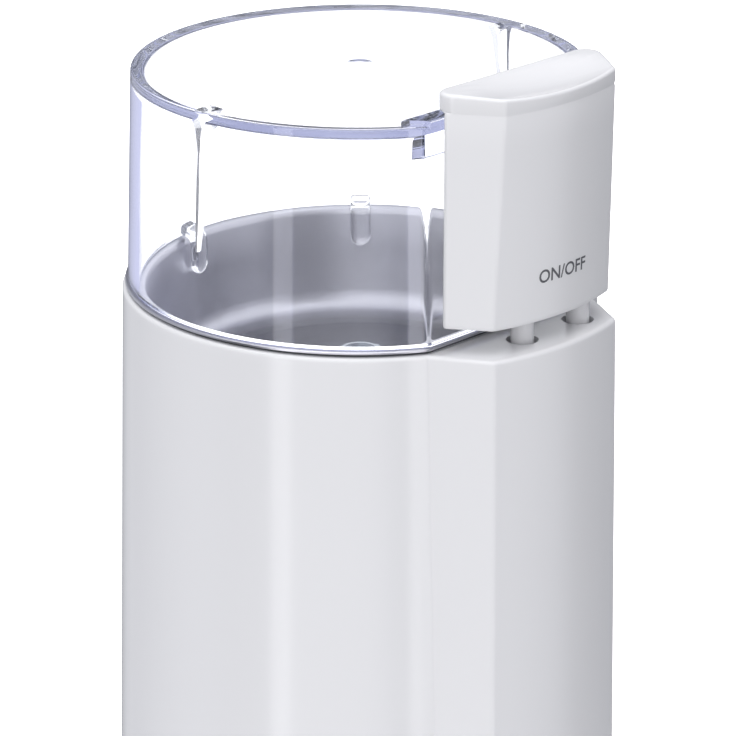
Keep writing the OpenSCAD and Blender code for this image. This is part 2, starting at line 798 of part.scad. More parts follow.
module switch_lever() {
    knuckle_r = pivot_r + 0.65;
    color("silver") on_axis() translate([pivot_x, -switch_mid_y - lever_w / 2, pivot_z])
        rotate([0, lever_slope(0), 0]) difference() {
            union() {
                rotate([-90, 0, 0]) cylinder(h = lever_w, r = knuckle_r, $fn = 32);
                translate([-arm_leg - 2, 0, -lever_t / 2]) cube([arm_leg + 2, lever_w, lever_t]);
            }
            translate([0, -1, 0]) rotate([-90, 0, 0])
                cylinder(h = lever_w + 2, r = pivot_r + shaft_fit, $fn = 32);
        }
}

// ---- Motor carrier ----------------------------------------------------------

carrier_chord = body_r - 6.2;
carrier_gap = 0.4;
carrier_r = body_r + flare_at(carrier_top_z) - wall - carrier_gap;
cup_r = 9.2;
bush_r = 7;
bush_h = 8;
bush_wall_gap = 0.05;
pedestal_r = bowl_floor_r - 6;
pedestal_t = 2.4;
hub_wall = 3;
hub_floor = 2;
cup_gap = 0.5;
mount_ring_r = body_r - 12.7;
mount_r = 5.5;
mount_h = 4;
mount_angles = [-39.5, 140.5];
mount_screw_r = 1.9;

module motor_carrier() {
    color("gainsboro") on_axis() difference() {
        union() {
            d_disc(carrier_r, carrier_chord, carrier_z, carrier_top_z);
            ring_wall(pedestal_r, pedestal_r - pedestal_t, carrier_top_z - eps, bowl_under_z);
        }
        translate([0, 0, carrier_z - 1]) cylinder(h = carrier_t + 1, r = cup_r + cup_gap, $fn = 64);
        ring_of(carrier_angles, carrier_boss_ring) translate([0, 0, carrier_z - 1])
            cylinder(h = carrier_t + 2, r = screw_r + fit_gap, $fn = 32);
        ring_of(mount_angles, mount_ring_r) translate([0, 0, carrier_z - 1])
            cylinder(h = carrier_t + 2, r = mount_screw_r + fit_gap / 2, $fn = 32);
    }
    color("gainsboro") on_axis() {
        ring_wall(cup_r + cup_gap + hub_wall, collar_r + fit_gap, carrier_top_z, carrier_top_z + hub_floor);
        ring_wall(collar_r + hub_wall, collar_r + fit_gap, carrier_top_z, bowl_under_z);
    }
}

module ring_wall(r_out, r_in, z0, z1) {
    difference() {
        translate([0, 0, z0]) cylinder(h = z1 - z0, r = r_out, $fn = 96);
        translate([0, 0, z0 - 1]) cylinder(h = z1 - z0 + 2, r = r_in, $fn = 96);
    }
}

carrier_screw_bite = 6;

module carrier_screws() {
    color("silver") on_axis() ring_of(carrier_angles, carrier_boss_ring)
        translate([0, 0, carrier_z])
            screw(screw_r, carrier_t + carrier_screw_bite, screw_head_r, screw_head_h);
}

module rubber_mounts() {
    color("dimgray") on_axis() ring_of(mount_angles, mount_ring_r)
        translate([0, 0, carrier_z - mount_h]) difference() {
            cylinder(h = mount_h, r = mount_r, $fn = 40);
            translate([0, 0, -1]) cylinder(h = mount_h + 2, r = mount_screw_r + fit_gap, $fn = 32);
        }
}

module mount_screws() {
    color("silver") on_axis() ring_of(mount_angles, mount_ring_r)
        translate([0, 0, bracket_z]) screw(mount_screw_r, bracket_t + mount_h + carrier_t, 3.4, 2.2);
}

// ---- Motor ------------------------------------------------------------------

bracket_t = 2.5;
bracket_r = bush_r + 8;
bracket_z = carrier_z - mount_h - bracket_t;
bar_w = 13;
bolt_r = 1.8;
bolt_x = stack_w / 2 - 3;
bolt_y = stack_d / 2 - 2.9;
bolt_ring_r = norm([bolt_x, bolt_y]);
bolt_angle = atan2(bolt_y, bolt_x);
bolt_angles = [bolt_angle, bolt_angle + 180];
coil_over = 6.5;
bobbin_t = 0.7;
stack_top_z = bracket_z - coil_over - 2.4;
stack_z = stack_top_z - stack_h;
post_r = 3.6;
lower_bracket_z = stack_z - coil_over - commutator_h - 6;
lower_top_z = lower_bracket_z + bracket_t;
bush_sink = 1;
shaft_end_z = lower_bracket_z - bush_h - 0.2;

// Round bush held in the bracket's cup; bush_z is the bush's lower face
module bearing_cup(bush_z) {
    ring_wall(cup_r, bush_r + bush_wall_gap, bush_z, bush_z + bush_h);
}

module bush(bush_z) {
    ring_wall(bush_r, shaft_r + shaft_fit, bush_z, bush_z + bush_h);
}

module bracket_plate(z, angles_a, angles_b, r_b) {
    difference() {
        translate([0, 0, z]) linear_extrude(bracket_t) {
            circle(r = bracket_r, $fn = 64);
            for (a = angles_a) rotate(a) {
                translate([0, -bar_w / 2]) square([bolt_ring_r, bar_w]);
                translate([bolt_ring_r, 0]) circle(r = bar_w / 2, $fn = 40);
            }
            for (a = angles_b) rotate(a) {
                translate([0, -bar_w / 2]) square([r_b, bar_w]);
                translate([r_b, 0]) circle(r = bar_w / 2, $fn = 40);
            }
        }
        translate([0, 0, z - 1]) cylinder(h = bracket_t + 2, r = bush_r + bush_wall_gap, $fn = 64);
        ring_of(angles_a, bolt_ring_r) translate([0, 0, z - 1])
            cylinder(h = bracket_t + 2, r = bolt_r + fit_gap / 2, $fn = 32);
        ring_of(angles_b, r_b) translate([0, 0, z - 1])
            cylinder(h = bracket_t + 2, r = mount_screw_r + fit_gap / 2, $fn = 32);
    }
}

upper_bush_z = bracket_z + bracket_t - bush_sink;
lower_bush_z = lower_bracket_z - bush_h + bracket_t + bush_sink;

module upper_bracket() {
    color("silver") on_axis() {
        bracket_plate(bracket_z, bolt_angles, mount_angles, mount_ring_r);
        bearing_cup(upper_bush_z);
        ring_of(bolt_angles, bolt_ring_r)
            ring_wall(post_r, bolt_r + fit_gap / 2, stack_top_z, bracket_z + eps);
    }
}

module lower_bracket() {
    color("silver") on_axis() {
        bracket_plate(lower_bracket_z, bolt_angles, [], 0);
        bearing_cup(lower_bush_z);
        ring_of(bolt_angles, bolt_ring_r)
            ring_wall(post_r, bolt_r + fit_gap / 2, lower_top_z - eps, stack_z);
        translate([0, 0, lower_bracket_z]) linear_extrude(bracket_t) difference() {
            square([holder_w + 2, 2 * holder_back_y], center = true);
            circle(r = bracket_r - 1, $fn = 64);
        }
    }
}

module upper_bush() {
    color("peru") on_axis() bush(upper_bush_z);
}

module lower_bush() {
    color("peru") on_axis() bush(lower_bush_z);
}

module through_bolts() {
    nut_h = 2.6;
    color("silver") on_axis() ring_of(bolt_angles, bolt_ring_r) {
        translate([0, 0, lower_bracket_z])
            screw(bolt_r, bracket_z + bracket_t - lower_bracket_z + nut_h, 3.2, 2.2);
        translate([0, 0, bracket_z + bracket_t]) cylinder(h = nut_h, r = 3.4, $fn = 6);
    }
}

bore_r = armature_r + air_gap;
shoe_t = 3;
neck_w = 18.4;
yoke_w = 5.5;
window_x = stack_w / 2 - yoke_w;
window_y = stack_d / 2 - yoke_w + 0.5;
tip_gap = 10;

module stator_stack() {
    color("slategray") on_axis() translate([0, 0, stack_z]) linear_extrude(stack_h) difference() {
        square([stack_w, stack_d], center = true);
        circle(r = bore_r, $fn = 96);
        for (s = [0, 180]) rotate(s) {
            difference() {
                translate([-window_x, neck_w / 2]) square([2 * window_x, window_y - neck_w / 2]);
                circle(r = bore_r + shoe_t, $fn = 96);
            }
            translate([-tip_gap / 2, 0]) square([tip_gap, window_y]);
        }
        for (a = bolt_angles) rotate(a) translate([bolt_ring_r, 0])
            circle(r = bolt_r + fit_gap / 2, $fn = 32);
    }
}

// Flat ring wound round one pole neck, standing square to the X axis
coil_x = bore_r + shoe_t + 0.8;
coil_t = window_x - coil_x - 0.3;
coil_w = 5.4;

module pole_ring(x, t, hole_grow, ring_w) {
    hole_h = stack_h + 2 * hole_grow;
    hole_w = neck_w + 2 * hole_grow;
    translate([x, 0, stack_z + stack_h / 2]) rotate([90, 0, 90]) linear_extrude(t) difference() {
        rounded_rect(hole_w + 2 * ring_w, hole_h + 2 * ring_w, ring_w);
        square([hole_w, hole_h], center = true);
    }
}

module coil_bobbins() {
    color("ivory") on_axis() both_sides()
        pole_ring(coil_x, coil_t, fit_gap, bobbin_t);
}

module field_coils() {
    color("chocolate") on_axis() both_sides()
        pole_ring(coil_x, coil_t, fit_gap + bobbin_t, coil_w);
}

holder_w = 8.4;
holder_in_y = commutator_r + 3;
holder_back_y = commutator_r + 18;
brush_w = 5;
brush_h = 7;
brush_l = 10;
brush_fit = 0.1;
brush_touch = 0.15;
commutator_z = lower_top_z + 2.2;
brush_z = commutator_z + commutator_h / 2 - brush_h / 2;
holder_h = brush_z + brush_h + brush_fit + 1.4 - lower_top_z;
brush_spring_r = 2;

module brush_holders() {
    color("saddlebrown") on_axis() for (a = [0, 180]) rotate(a) difference() {
        translate([-holder_w / 2, holder_in_y, lower_top_z])
            cube([holder_w, holder_back_y - holder_in_y, holder_h]);
        translate([-brush_w / 2 - brush_fit, holder_in_y - 1, brush_z - brush_fit])
            cube([brush_w + 2 * brush_fit, holder_back_y - holder_in_y - 0.5, brush_h + 2 * brush_fit]);
    }
}

module carbon_brushes() {
    color("black") on_axis() for (a = [0, 180]) rotate(a) difference() {
        translate([-brush_w / 2, commutator_r - 1, brush_z]) cube([brush_w, brush_l + 1, brush_h]);
        translate([0, 0, brush_z - 1]) cylinder(h = brush_h + 2, r = commutator_r + brush_touch, $fn = 96);
    }
}

module brush_springs() {
    back = commutator_r + brush_l;
    color("silver") on_axis() for (a = [0, 180]) rotate(a)
        translate([0, back + 0.1, brush_z + brush_h / 2]) rotate([-90, 0, 0])
            coil_spring(brush_spring_r, 0.25, holder_back_y - 1.5 - back - 0.2, 5, 12, 6);
}

// ---- Rotor ------------------------------------------------------------------

hub_z = bowl_floor_z + collar_flange_t + 0.3;
hub_h = 1;
hub_r = 6;
blade_z = hub_z + hub_h;
nut_h = 1.5;
nut_r = 5;
nut_bevel_h = 0.5;
shaft_top_z = blade_z + blade_t + nut_h;
slot_depth = 4;
slot_w = 2;
end_turn_h = 5.5;
end_turn_r = armature_r - 2;
washer_t = 0.8;
washer_r = shaft_r + 2.6;
washer_gap = 0.3;

module shaft() {
    color("silver") on_axis() {
        translate([0, 0, shaft_end_z]) cylinder(h = shaft_top_z - shaft_end_z, r = shaft_r, $fn = 64);
    }
}

module armature_core() {
    color("slategray") on_axis() translate([0, 0, stack_z]) linear_extrude(stack_h) difference() {
        circle(r = armature_r, $fn = 96);
        circle(r = shaft_r, $fn = 64);
        for (i = [0:slots - 1]) rotate(i * 360 / slots)
            translate([armature_r - slot_depth, -slot_w / 2]) square([slot_depth + 1, slot_w]);
    }
}

module armature_windings() {
    color("chocolate") on_axis() {
        for (z = [stack_z - end_turn_h, stack_top_z])
            translate([0, 0, z]) rotate_extrude($fn = 96)
                translate([(shaft_r + 1 + end_turn_r) / 2, end_turn_h / 2])
                    rounded_rect(end_turn_r - shaft_r - 1, end_turn_h, 1.6);
        for (i = [0:slots - 1]) rotate(i * 360 / slots)
            translate([armature_r - slot_depth, -slot_w / 2 + 0.1, stack_z - 1])
                cube([end_turn_r - armature_r + slot_depth - 0.2, slot_w - 0.2, stack_h + 2]);
    }
}

module commutator() {
    color("peru") on_axis() translate([0, 0, commutator_z]) difference() {
        union() {
            cylinder(h = commutator_h, r = commutator_r, $fn = 96);
            translate([0, 0, commutator_h - 1.4]) cylinder(h = 1.4, r = commutator_r + 1.2, $fn = 96);
        }
        translate([0, 0, -1]) cylinder(h = commutator_h + 2, r = shaft_r, $fn = 64);
        for (i = [0:slots - 1]) rotate((i + 0.5) * 360 / slots)
            translate([commutator_r - 0.8, -0.25, -1]) cube([3, 0.5, commutator_h + 2]);
    }
}

module thrust_washers() {
    color("ivory") on_axis() {
        for (z = [lower_bush_z + bush_h + washer_gap, upper_bush_z - washer_gap - washer_t])
            ring_wall(washer_r, shaft_r, z, z + washer_t);
    }
}

module blade_hub() {
    color("dimgray") on_axis() ring_wall(hub_r, shaft_r, hub_z, hub_z + hub_h);
}

// Two pitched wings on a flat middle, turned to where the motor last stopped
blade_turn = 134;

module blade() {
    wing_in = hub_r + 1;
    color("lightgray") on_axis() translate([0, 0, blade_z]) rotate(blade_turn) difference() {
        union() {
            linear_extrude(blade_t) rounded_rect(2 * wing_in + 2, blade_w - 1.6, 1);
            for (a = [0, 180]) rotate(a) translate([0, 0, blade_t / 2]) rotate([blade_pitch, 0, 0])
                translate([0, 0, -blade_t / 2]) linear_extrude(blade_t) polygon([
                    [wing_in, -blade_w / 2 + 1], [blade_reach - 7, -blade_w / 2],
                    [blade_reach - 0.6, -blade_w / 2 + 4], [blade_reach - 1.4, blade_w / 2 - 2.4],
                    [blade_reach / 2, blade_w / 2 - 1.2], [wing_in, blade_w / 2 - 1]
                ]);
        }
        translate([0, 0, -5]) cylinder(h = blade_t + 10, r = shaft_r, $fn = 64);
    }
}

module blade_nut() {
    color("silver") on_axis() translate([0, 0, blade_z + blade_t]) difference() {
        union() {
            cylinder(h = nut_h, r = nut_r, $fn = 6);
            translate([0, 0, nut_h]) cylinder(h = nut_bevel_h, r1 = nut_r - 0.8, r2 = nut_r - 1.4, $fn = 48);
        }
        translate([0, 0, -1]) cylinder(h = nut_h + nut_bevel_h + 2, r = shaft_r, $fn = 64);
    }
}

// ---- Electrics on the base --------------------------------------------------

block_w = 26;
block_d = 10;
block_h = 9;
block_y = body_r - 21.7;

module terminal_block() {
    color("ivory") on_axis() difference() {
        translate([-block_w / 2, block_y, base_top_z]) cube([block_w, block_d, block_h]);
        for (x = [-block_w / 4, block_w / 4]) {
            translate([x, block_y + block_d / 2, base_top_z + block_h - 3])
                cylinder(h = 4, r = 2.4, $fn = 40);
            translate([x, block_y - 1, base_top_z + block_h / 2 - 1]) rotate([-90, 0, 0])
                cylinder(h = block_d + 2, r = 1.6, $fn = 32);
        }
    }
}

capacitor_size = [18, 8, 13];
capacitor_y = 11.7 - body_r;

module suppression_capacitor() {
    color("gold") on_axis() translate([0, capacitor_y, base_top_z])
        linear_extrude(capacitor_size[2]) rounded_rect(capacitor_size[0], capacitor_size[1], 1);
}

housing();
base_plate();
base_screws();
rubber_feet();
cord_inlet_bush();
grinding_bowl();
bowl_seal();
bowl_collar();
shaft_seal();
lid();
button();
leg_retainers();
return_springs();
button_guide();
guide_screws();
switch_body();
switch_terminals();
switch_screws();
switch_plunger();
switch_lever();
motor_carrier();
carrier_screws();
rubber_mounts();
mount_screws();
upper_bracket();
lower_bracket();
upper_bush();
lower_bush();
through_bolts();
stator_stack();
coil_bobbins();
field_coils();
brush_holders();
carbon_brushes();
brush_springs();
shaft();
armature_core();
armature_windings();
commutator();
thrust_washers();
blade_hub();
blade();
blade_nut();
terminal_block();
suppression_capacitor();
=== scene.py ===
import math

import bpy
import numpy as np
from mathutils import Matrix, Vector
from mathutils.geometry import tessellate_polygon


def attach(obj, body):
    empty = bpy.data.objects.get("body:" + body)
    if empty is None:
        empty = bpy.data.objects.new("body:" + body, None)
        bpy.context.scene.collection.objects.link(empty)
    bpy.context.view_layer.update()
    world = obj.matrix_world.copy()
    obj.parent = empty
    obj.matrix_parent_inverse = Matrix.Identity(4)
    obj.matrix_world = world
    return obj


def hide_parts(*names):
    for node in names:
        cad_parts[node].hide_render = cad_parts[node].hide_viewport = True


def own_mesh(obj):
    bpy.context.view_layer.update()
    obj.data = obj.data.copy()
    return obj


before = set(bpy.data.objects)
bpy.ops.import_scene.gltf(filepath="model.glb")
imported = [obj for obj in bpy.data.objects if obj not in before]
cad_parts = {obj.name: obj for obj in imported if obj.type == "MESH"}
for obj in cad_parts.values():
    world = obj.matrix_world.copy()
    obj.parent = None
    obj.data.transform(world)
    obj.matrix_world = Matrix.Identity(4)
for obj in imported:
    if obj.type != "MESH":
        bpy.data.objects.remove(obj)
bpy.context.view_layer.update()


# ---- Housing ----------------------------------------------------------------
# One tall injection-moulded shell in white ABS, round at the back and carried
# out into a flat-sided bay for the switch. It hangs over the base plate, and
# the deck on top is open for the bowl and for the button's two legs.

# Sizes are in millimetres. Plans are drawn about the motor's axis, which stands
# axis_y behind the origin, and heights are counted from the table.
axis_y = 3.05
deck_z, deck_t, hem_z, wall = 132.0, 2.4, 2.0, 2.4
body_r, body_flare = 43.7, 3.0
bay_r, bay_flare = 50.9, 1.9
bay_root_w, bay_tip_w = 22.0, 16.2
bay_corner, root_fillet, deck_edge = 1.5, 0.9, 0.8
well_r, well_chord, well_corner = 40.1, 34.1, 1.0
legs, leg_hole_r = [(-4.0, -43.8), (10.8, -43.8)], 2.9
white_colour, drift_mm = "#F1F1F3", 25
shade_angle = 32


def linear(code):
    """sRGB hex as linear RGBA: c / 12.92 near black, else ((c + 0.055) / 1.055) to the power 2.4."""
    c = np.array([int(code[i:i + 2], 16) for i in (1, 3, 5)]) / 255
    c = np.where(c > 0.04045, ((c + 0.055) / 1.055) ** 2.4, c / 12.92)
    return (float(c[0]), float(c[1]), float(c[2]), 1.0)


def add(tree, kind, sockets=None, **settings):
    """Adds one shader node, sets its properties, then fills or links its inputs."""
    made = tree.nodes.new(kind)
    for key, value in settings.items():
        setattr(made, key, value)
    for key, value in (sockets or {}).items():
        if isinstance(value, bpy.types.NodeSocket):
            tree.links.new(value, made.inputs[key])
        else:
            made.inputs[key].default_value = value
    return made


def blank_material(name):
    """A new material with its own empty node tree, and that tree."""
    made = bpy.data.materials.new(name)
    made.use_nodes = True
    made.node_tree.nodes.clear()
    return made, made.node_tree


def moulded(name, colour, roughness, ior, grain_mm, height_mm, tint=0.03):
    """Moulded plastic or rubber: a fine grain of the tool's surface in the bump and in the gloss,
    drawn coarser than the real one so that it shows, and a slow drift of tone, drift_mm from light
    to dark, that real mouldings have."""
    made, tree = blank_material(name)
    where = add(tree, "ShaderNodeTexCoord").outputs["Object"]
    grain = add(tree, "ShaderNodeTexNoise", {"Vector": where, "Scale": 1000 / grain_mm, "Detail": 3.0})
    drift = add(tree, "ShaderNodeTexNoise", {"Vector": where, "Scale": 1000 / drift_mm, "Detail": 1.0})
    full = linear(colour)
    less = tuple(c * (1 - tint) for c in full[:3]) + (1.0,)
    tone = add(tree, "ShaderNodeMixRGB", {"Fac": drift.outputs[0], "Color1": less, "Color2": full})
    gloss = add(tree, "ShaderNodeMapRange", {
        "Value": grain.outputs[0], "To Min": roughness * 0.92, "To Max": roughness * 1.08})
    bump = add(tree, "ShaderNodeBump", {
        "Height": grain.outputs[0], "Distance": height_mm / 1000, "Strength": 1.0})
    shader = add(tree, "ShaderNodeBsdfPrincipled", {
        "Base Color": tone.outputs[0], "Roughness": gloss.outputs[0], "IOR": ior,
        "Normal": bump.outputs[0]})
    add(tree, "ShaderNodeOutputMaterial", {"Surface": shader.outputs[0]})
    return made


def strips(index):
    """Quads over a grid of point numbers: one joins each four neighbours of two rows, and each row
    runs round the piece."""
    a, b = index[:-1], index[1:]
    return np.stack([a, b, np.roll(b, -1, 1), np.roll(a, -1, 1)], -1).reshape(-1, 4).tolist()


def skin(rows, loop=False):
    """Closed skin over a grid of points whose row i runs round the piece. Both ends close on a pole,
    or the last row joins the first."""
    count, width = rows.shape[:2]
    index = np.arange(count * width).reshape(count, width)
    points = rows.reshape(-1, 3)
    if loop:
        return points, strips(np.vstack([index, index[:1]]))
    first, last = index[0], index[-1]
    pole = np.full(width, len(points))
    points = np.vstack([points, rows[0].mean(0), rows[-1].mean(0)])
    faces = strips(index)
    faces += np.stack([first, np.roll(first, -1), pole], -1).tolist()
    faces += np.stack([np.roll(last, -1), last, pole + 1], -1).tolist()
    return points, faces


def outward(points, faces):
    """The same faces, all turned over if their signed volume says that they face inwards. The volume
    is the sum of a . (b x c) over the triangles a, b, c that fan out over each face."""
    fans = np.array([(f[0], f[k], f[k + 1]) for f in faces for k in range(1, len(f) - 1)])
    a, b, c = points[fans[:, 0]], points[fans[:, 1]], points[fans[:, 2]]
    volume = (a * np.cross(b, c)).sum()
    return points, faces if volume > 0 else [f[::-1] for f in faces]


def placed(name, data):
    """A new object for a mesh, a camera or a text, linked to the scene."""
    made = bpy.data.objects.new(name, data)
    bpy.context.scene.collection.objects.link(made)
    return made


def piece(name, body, material, *skins, sharp=shade_angle):
    """One object in metres from skins in millimetres, set behind the origin on the motor axis."""
    points, faces = np.zeros((0, 3)), []
    for part_points, part_faces in skins:
        part_points, part_faces = outward(part_points, part_faces)
        faces += [[k + len(points) for k in f] for f in part_faces]
        points = np.vstack([points, part_points])
    mesh = bpy.data.meshes.new(name)
    mesh.from_pydata(((points + (0, axis_y, 0)) / 1000).tolist(), [], faces)
    mesh.shade_smooth()
    mesh.set_sharp_from_angle(angle=math.radians(sharp))
    mesh.materials.append(material)
    made = placed(name, mesh)
    if body:
        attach(made, body)
    return made


def combine(target, tools, operation):
    """Joins or cuts the target with each tool, keeps the result as its mesh and removes the tools."""
    for tool in tools:
        change = target.modifiers.new("change", "BOOLEAN")
        change.operation, change.object, change.solver = operation, tool, "MANIFOLD"
        shown = target.evaluated_get(bpy.context.evaluated_depsgraph_get())
        mesh = bpy.data.meshes.new_from_object(shown)
        target.modifiers.clear()
        target.data = mesh
        bpy.data.objects.remove(tool)
    target.data.name = target.name
    target.data.set_sharp_from_angle(angle=math.radians(shade_angle))


def full_turn(steps):
    """Angles spread evenly over one full turn from 0, in radians."""
    return np.linspace(0, 2 * math.pi, steps, endpoint=False)


def arc(centre, radius, start, end, steps):
    """Points on a circle from angle start to angle end, in radians."""
    a = np.linspace(start, end, steps + 1)
    return np.array(centre) + radius * np.stack([np.cos(a), np.sin(a)], -1)


def touching(root, along, inset, r, corner):
    """Centre of the circle that touches a flank, drawn in by inset, and the circle r about the axis:
    on the flank's parallel at the corner's radius, where its distance to the axis is r - corner."""
    p = root + (inset + corner) * np.array([along[1], -along[0]])
    dot = p @ along
    return p + along * (-dot + math.sqrt(dot * dot - p @ p + (r - corner) ** 2))


def both_sides(half):
    """A whole outline from its right half: the same points with x turned round, in reverse order."""
    return np.vstack([half, half[-2:0:-1] * (-1, 1)])


def bay_outline(z, inset):
    """Plan of the body at height z, drawn in by inset: the bay's arc, its corner, its flank, the
    fillet at its root and the round back, then the same mirrored."""
    drop = (deck_z - z) / (deck_z - hem_z)
    round_r, out_r = body_r + body_flare * drop - inset, bay_r + bay_flare * drop
    grow = out_r / bay_r
    root = grow * np.array([bay_root_w, -math.sqrt(body_r ** 2 - bay_root_w ** 2)])
    tip = grow * np.array([bay_tip_w, -math.sqrt(bay_r ** 2 - bay_tip_w ** 2)])
    along = (tip - root) / np.linalg.norm(tip - root)
    corner, fillet = max(bay_corner - inset, 0.5), root_fillet + inset
    c = touching(root, along, inset, out_r - inset, corner)
    f = touching(root, along, inset, round_r, -fillet)
    flank = math.atan2(along[0], -along[1])
    at_c, at_f = math.atan2(c[1], c[0]), math.atan2(f[1], f[0])
    front = arc((0, 0), out_r - inset, -math.pi / 2, at_c, 14)
    bend = arc(c, corner, at_c, flank, 10)
    root_bend = arc(f, fillet, flank + math.pi, at_f + math.pi, 6)
    back = arc((0, 0), round_r, at_f, math.pi / 2, 76)
    t = np.array([[0.04], [0.3], [0.7], [0.96]])
    side = bend[-1] * (1 - t) + root_bend[0] * t
    return both_sides(np.vstack([front[:-1], bend, side, root_bend, back[1:]]))


def level(outline, z):
    """An outline in plan, lifted to height z."""
    return np.column_stack([outline, np.full(len(outline), z)])


def d_turn():
    """Directions round a D-shaped piece, counted from the middle of its flat side: 12 steps over the
    first 24 degrees, 28 over the next 15, where the corner is, and 56 over the rest of each half."""
    half = np.interp(np.arange(0, 97), [0, 12, 40, 96], np.radians([0, 24, 39, 180]))
    return np.concatenate([half, -half[-2:0:-1]])


def d_outline(r, chord, corner):
    """Plan of a disc cut straight at y = -chord, its two corners rounded: in each direction the
    distance is chord / cos on the flat, the corner circle's far side, or r."""
    turn = d_turn()
    u = np.stack([np.sin(turn), -np.cos(turn)], -1)
    reach = np.full(len(turn), float(r))
    if r > chord + 0.01:
        corner = min(corner, 0.45 * (r - chord) + 0.01)
        c = np.array([math.sqrt((r - corner) ** 2 - (chord - corner) ** 2), corner - chord])
        from_front = np.abs(turn)
        dot = np.abs(u[:, 0]) * c[0] + u[:, 1] * c[1]
        bend = dot + np.sqrt(np.maximum(dot ** 2 - c @ c + corner ** 2, 0))
        flat = chord / np.maximum(np.cos(from_front), 0.1)
        reach = np.where(from_front < math.atan2(c[0], -c[1]), bend, reach)
        reach = np.where(from_front < math.atan2(c[0], chord), flat, reach)
    return u * reach[:, None]


def lathe(profile, at=(0, 0), steps=48):
    """Rows of a turned form: each (radius, height) of the profile carried round the axis at."""
    a = full_turn(steps)
    ring = np.stack([np.cos(a), np.sin(a)], -1)
    return np.stack([level(ring * r + np.array(at), z) for r, z in profile])


def level_lathe(profile, axis_z, steps=48):
    """Rows of a form turned about a level line that runs straight back through the motor axis at
    height axis_z: each (radius, y) of the profile carried round that line."""
    a = full_turn(steps)
    return np.stack([
        np.column_stack([r * np.cos(a), np.full(steps, y), axis_z + r * np.sin(a)]) for r, y in profile])


def pierced(rows, holes):
    """Closed skin whose first and last rows bound two flat faces with the same holes through them:
    the faces are filled round the holes, and each hole gets its own wall."""
    count, width = rows.shape[:2]
    index = np.arange(count * width).reshape(count, width)
    points, faces = rows.reshape(-1, 3), strips(index)
    tops, unders = [list(index[0])], [list(index[-1])]
    for hole in holes:
        n, start = len(hole), len(points)
        points = np.vstack([points, level(hole, rows[0, 0, 2]), level(hole, rows[-1, 0, 2])])
        top, under = np.arange(start, start + n), np.arange(start + n, start + 2 * n)
        faces += np.stack([top, np.roll(top, -1), np.roll(under, -1), under], -1).tolist()
        tops.append(list(top))
        unders.append(list(under))
    for loops, up in ((tops, 1), (unders, -1)):
        flat = [k for loop in loops for k in loop]
        for tri in tessellate_polygon([[Vector(points[k]) for k in loop] for loop in loops]):
            p, q, r = (points[flat[k]] for k in tri)
            face = [flat[k] for k in tri]
            faces.append(face if np.cross(q - p, r - p)[2] * up > 0 else face[::-1])
    return points, [[int(k) for k in f] for f in faces]


# White ABS off a polished tool: bright, close to neutral, with a soft satin gloss
# that draws the studio's upright lights out into long pale bands.
white_abs = moulded("white moulded ABS", white_colour, 0.15, 1.53, 0.5, 0.0006, tint=0.015)

# (inset, height) from the deck's top over its rounded edge, down the outside,
# round the hem and up the inside to the deck's underside.
housing_rows = [(deck_edge + 0.5, deck_z)]
housing_rows += [(deck_edge * (1 - math.cos(a)), deck_z - deck_edge * (1 - math.sin(a)))
                 for a in np.radians(np.linspace(90, 0, 7))]
housing_rows += [(0, z) for z in (deck_z - 1.4, 128, 110, 90, 70, 50, 30, 12, 4, hem_z + 0.9)]
housing_rows += [(0.1, hem_z + 0.15), (0.5, hem_z), (wall - 0.4, hem_z), (wall, hem_z + 0.4)]
housing_rows += [(wall, z) for z in (4, 30, 70, 110, deck_z - deck_t - 0.6, deck_z - deck_t)]
housing_rows = np.stack([level(bay_outline(z, inset), z) for inset, z in housing_rows])
deck_holes = [d_outline(well_r, well_chord, well_corner)]
deck_holes += [arc(at, leg_hole_r, 0, 2 * math.pi, 40)[:-1] for at in legs]

boss_r, guide_boss_r, screw_hole_r, boss_merge = 4.0, 3.2, 1.55, 0.6
base_boss_foot, base_boss_head = 5.4, 19.4
carrier_boss_foot, carrier_boss_head = 100.0, 108.5
guide_boss_foot, guide_boss_head = 113.3, 129.7
guide_boss_x, guide_boss_y = 15.6, -38.1
long_screw, short_screw = 12, 7
base_boss_angles, carrier_boss_angles = (40, 140, 215, 325), (90, 205, 335)
inlet_z, inlet_hole_r, inlet_hole_y = 17, 5.05, (38.0, 52.0)


def boss(at, r, foot, head, depth):
    """A round boss with a blind screw hole of the given depth from below."""
    return skin(lathe([(screw_hole_r, foot + depth), (screw_hole_r, foot), (r, foot), (r, head)], at, 40))


def ringed(angles, r):
    """Points at distance r from the motor axis, at each angle in degrees."""
    return [(r * math.cos(math.radians(a)), r * math.sin(math.radians(a))) for a in angles]


def boss_ring(head):
    """Distance from the motor axis of bosses that end at height head and run into the flared wall."""
    return body_r + body_flare * (deck_z - head) / (deck_z - hem_z) - wall - boss_r + boss_merge


bosses = [boss(at, boss_r, base_boss_foot, base_boss_head, long_screw)
          for at in ringed(base_boss_angles, boss_ring(base_boss_head))]
bosses += [boss(at, boss_r, carrier_boss_foot, carrier_boss_head, short_screw)
           for at in ringed(carrier_boss_angles, boss_ring(carrier_boss_head))]
bosses += [boss((x, guide_boss_y), guide_boss_r, guide_boss_foot, guide_boss_head, long_screw)
           for x in (-guide_boss_x, guide_boss_x)]
housing = piece("housing_shell", "housing", white_abs, pierced(housing_rows, deck_holes), *bosses)
inlet_hole = piece("inlet_hole", None, white_abs, skin(level_lathe([
    (inlet_hole_r, y) for y in inlet_hole_y], inlet_z)))
combine(housing, [inlet_hole], "DIFFERENCE")
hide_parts("housing")


# ---- Base plate, its screws, the feet and the cord inlet ---------------------
# A flat polypropylene plate with vent slots closes the housing from below. Four
# screws hold it, four rubber feet sit in its seats, and the mains lead enters
# through a short black bush in the housing's back wall.

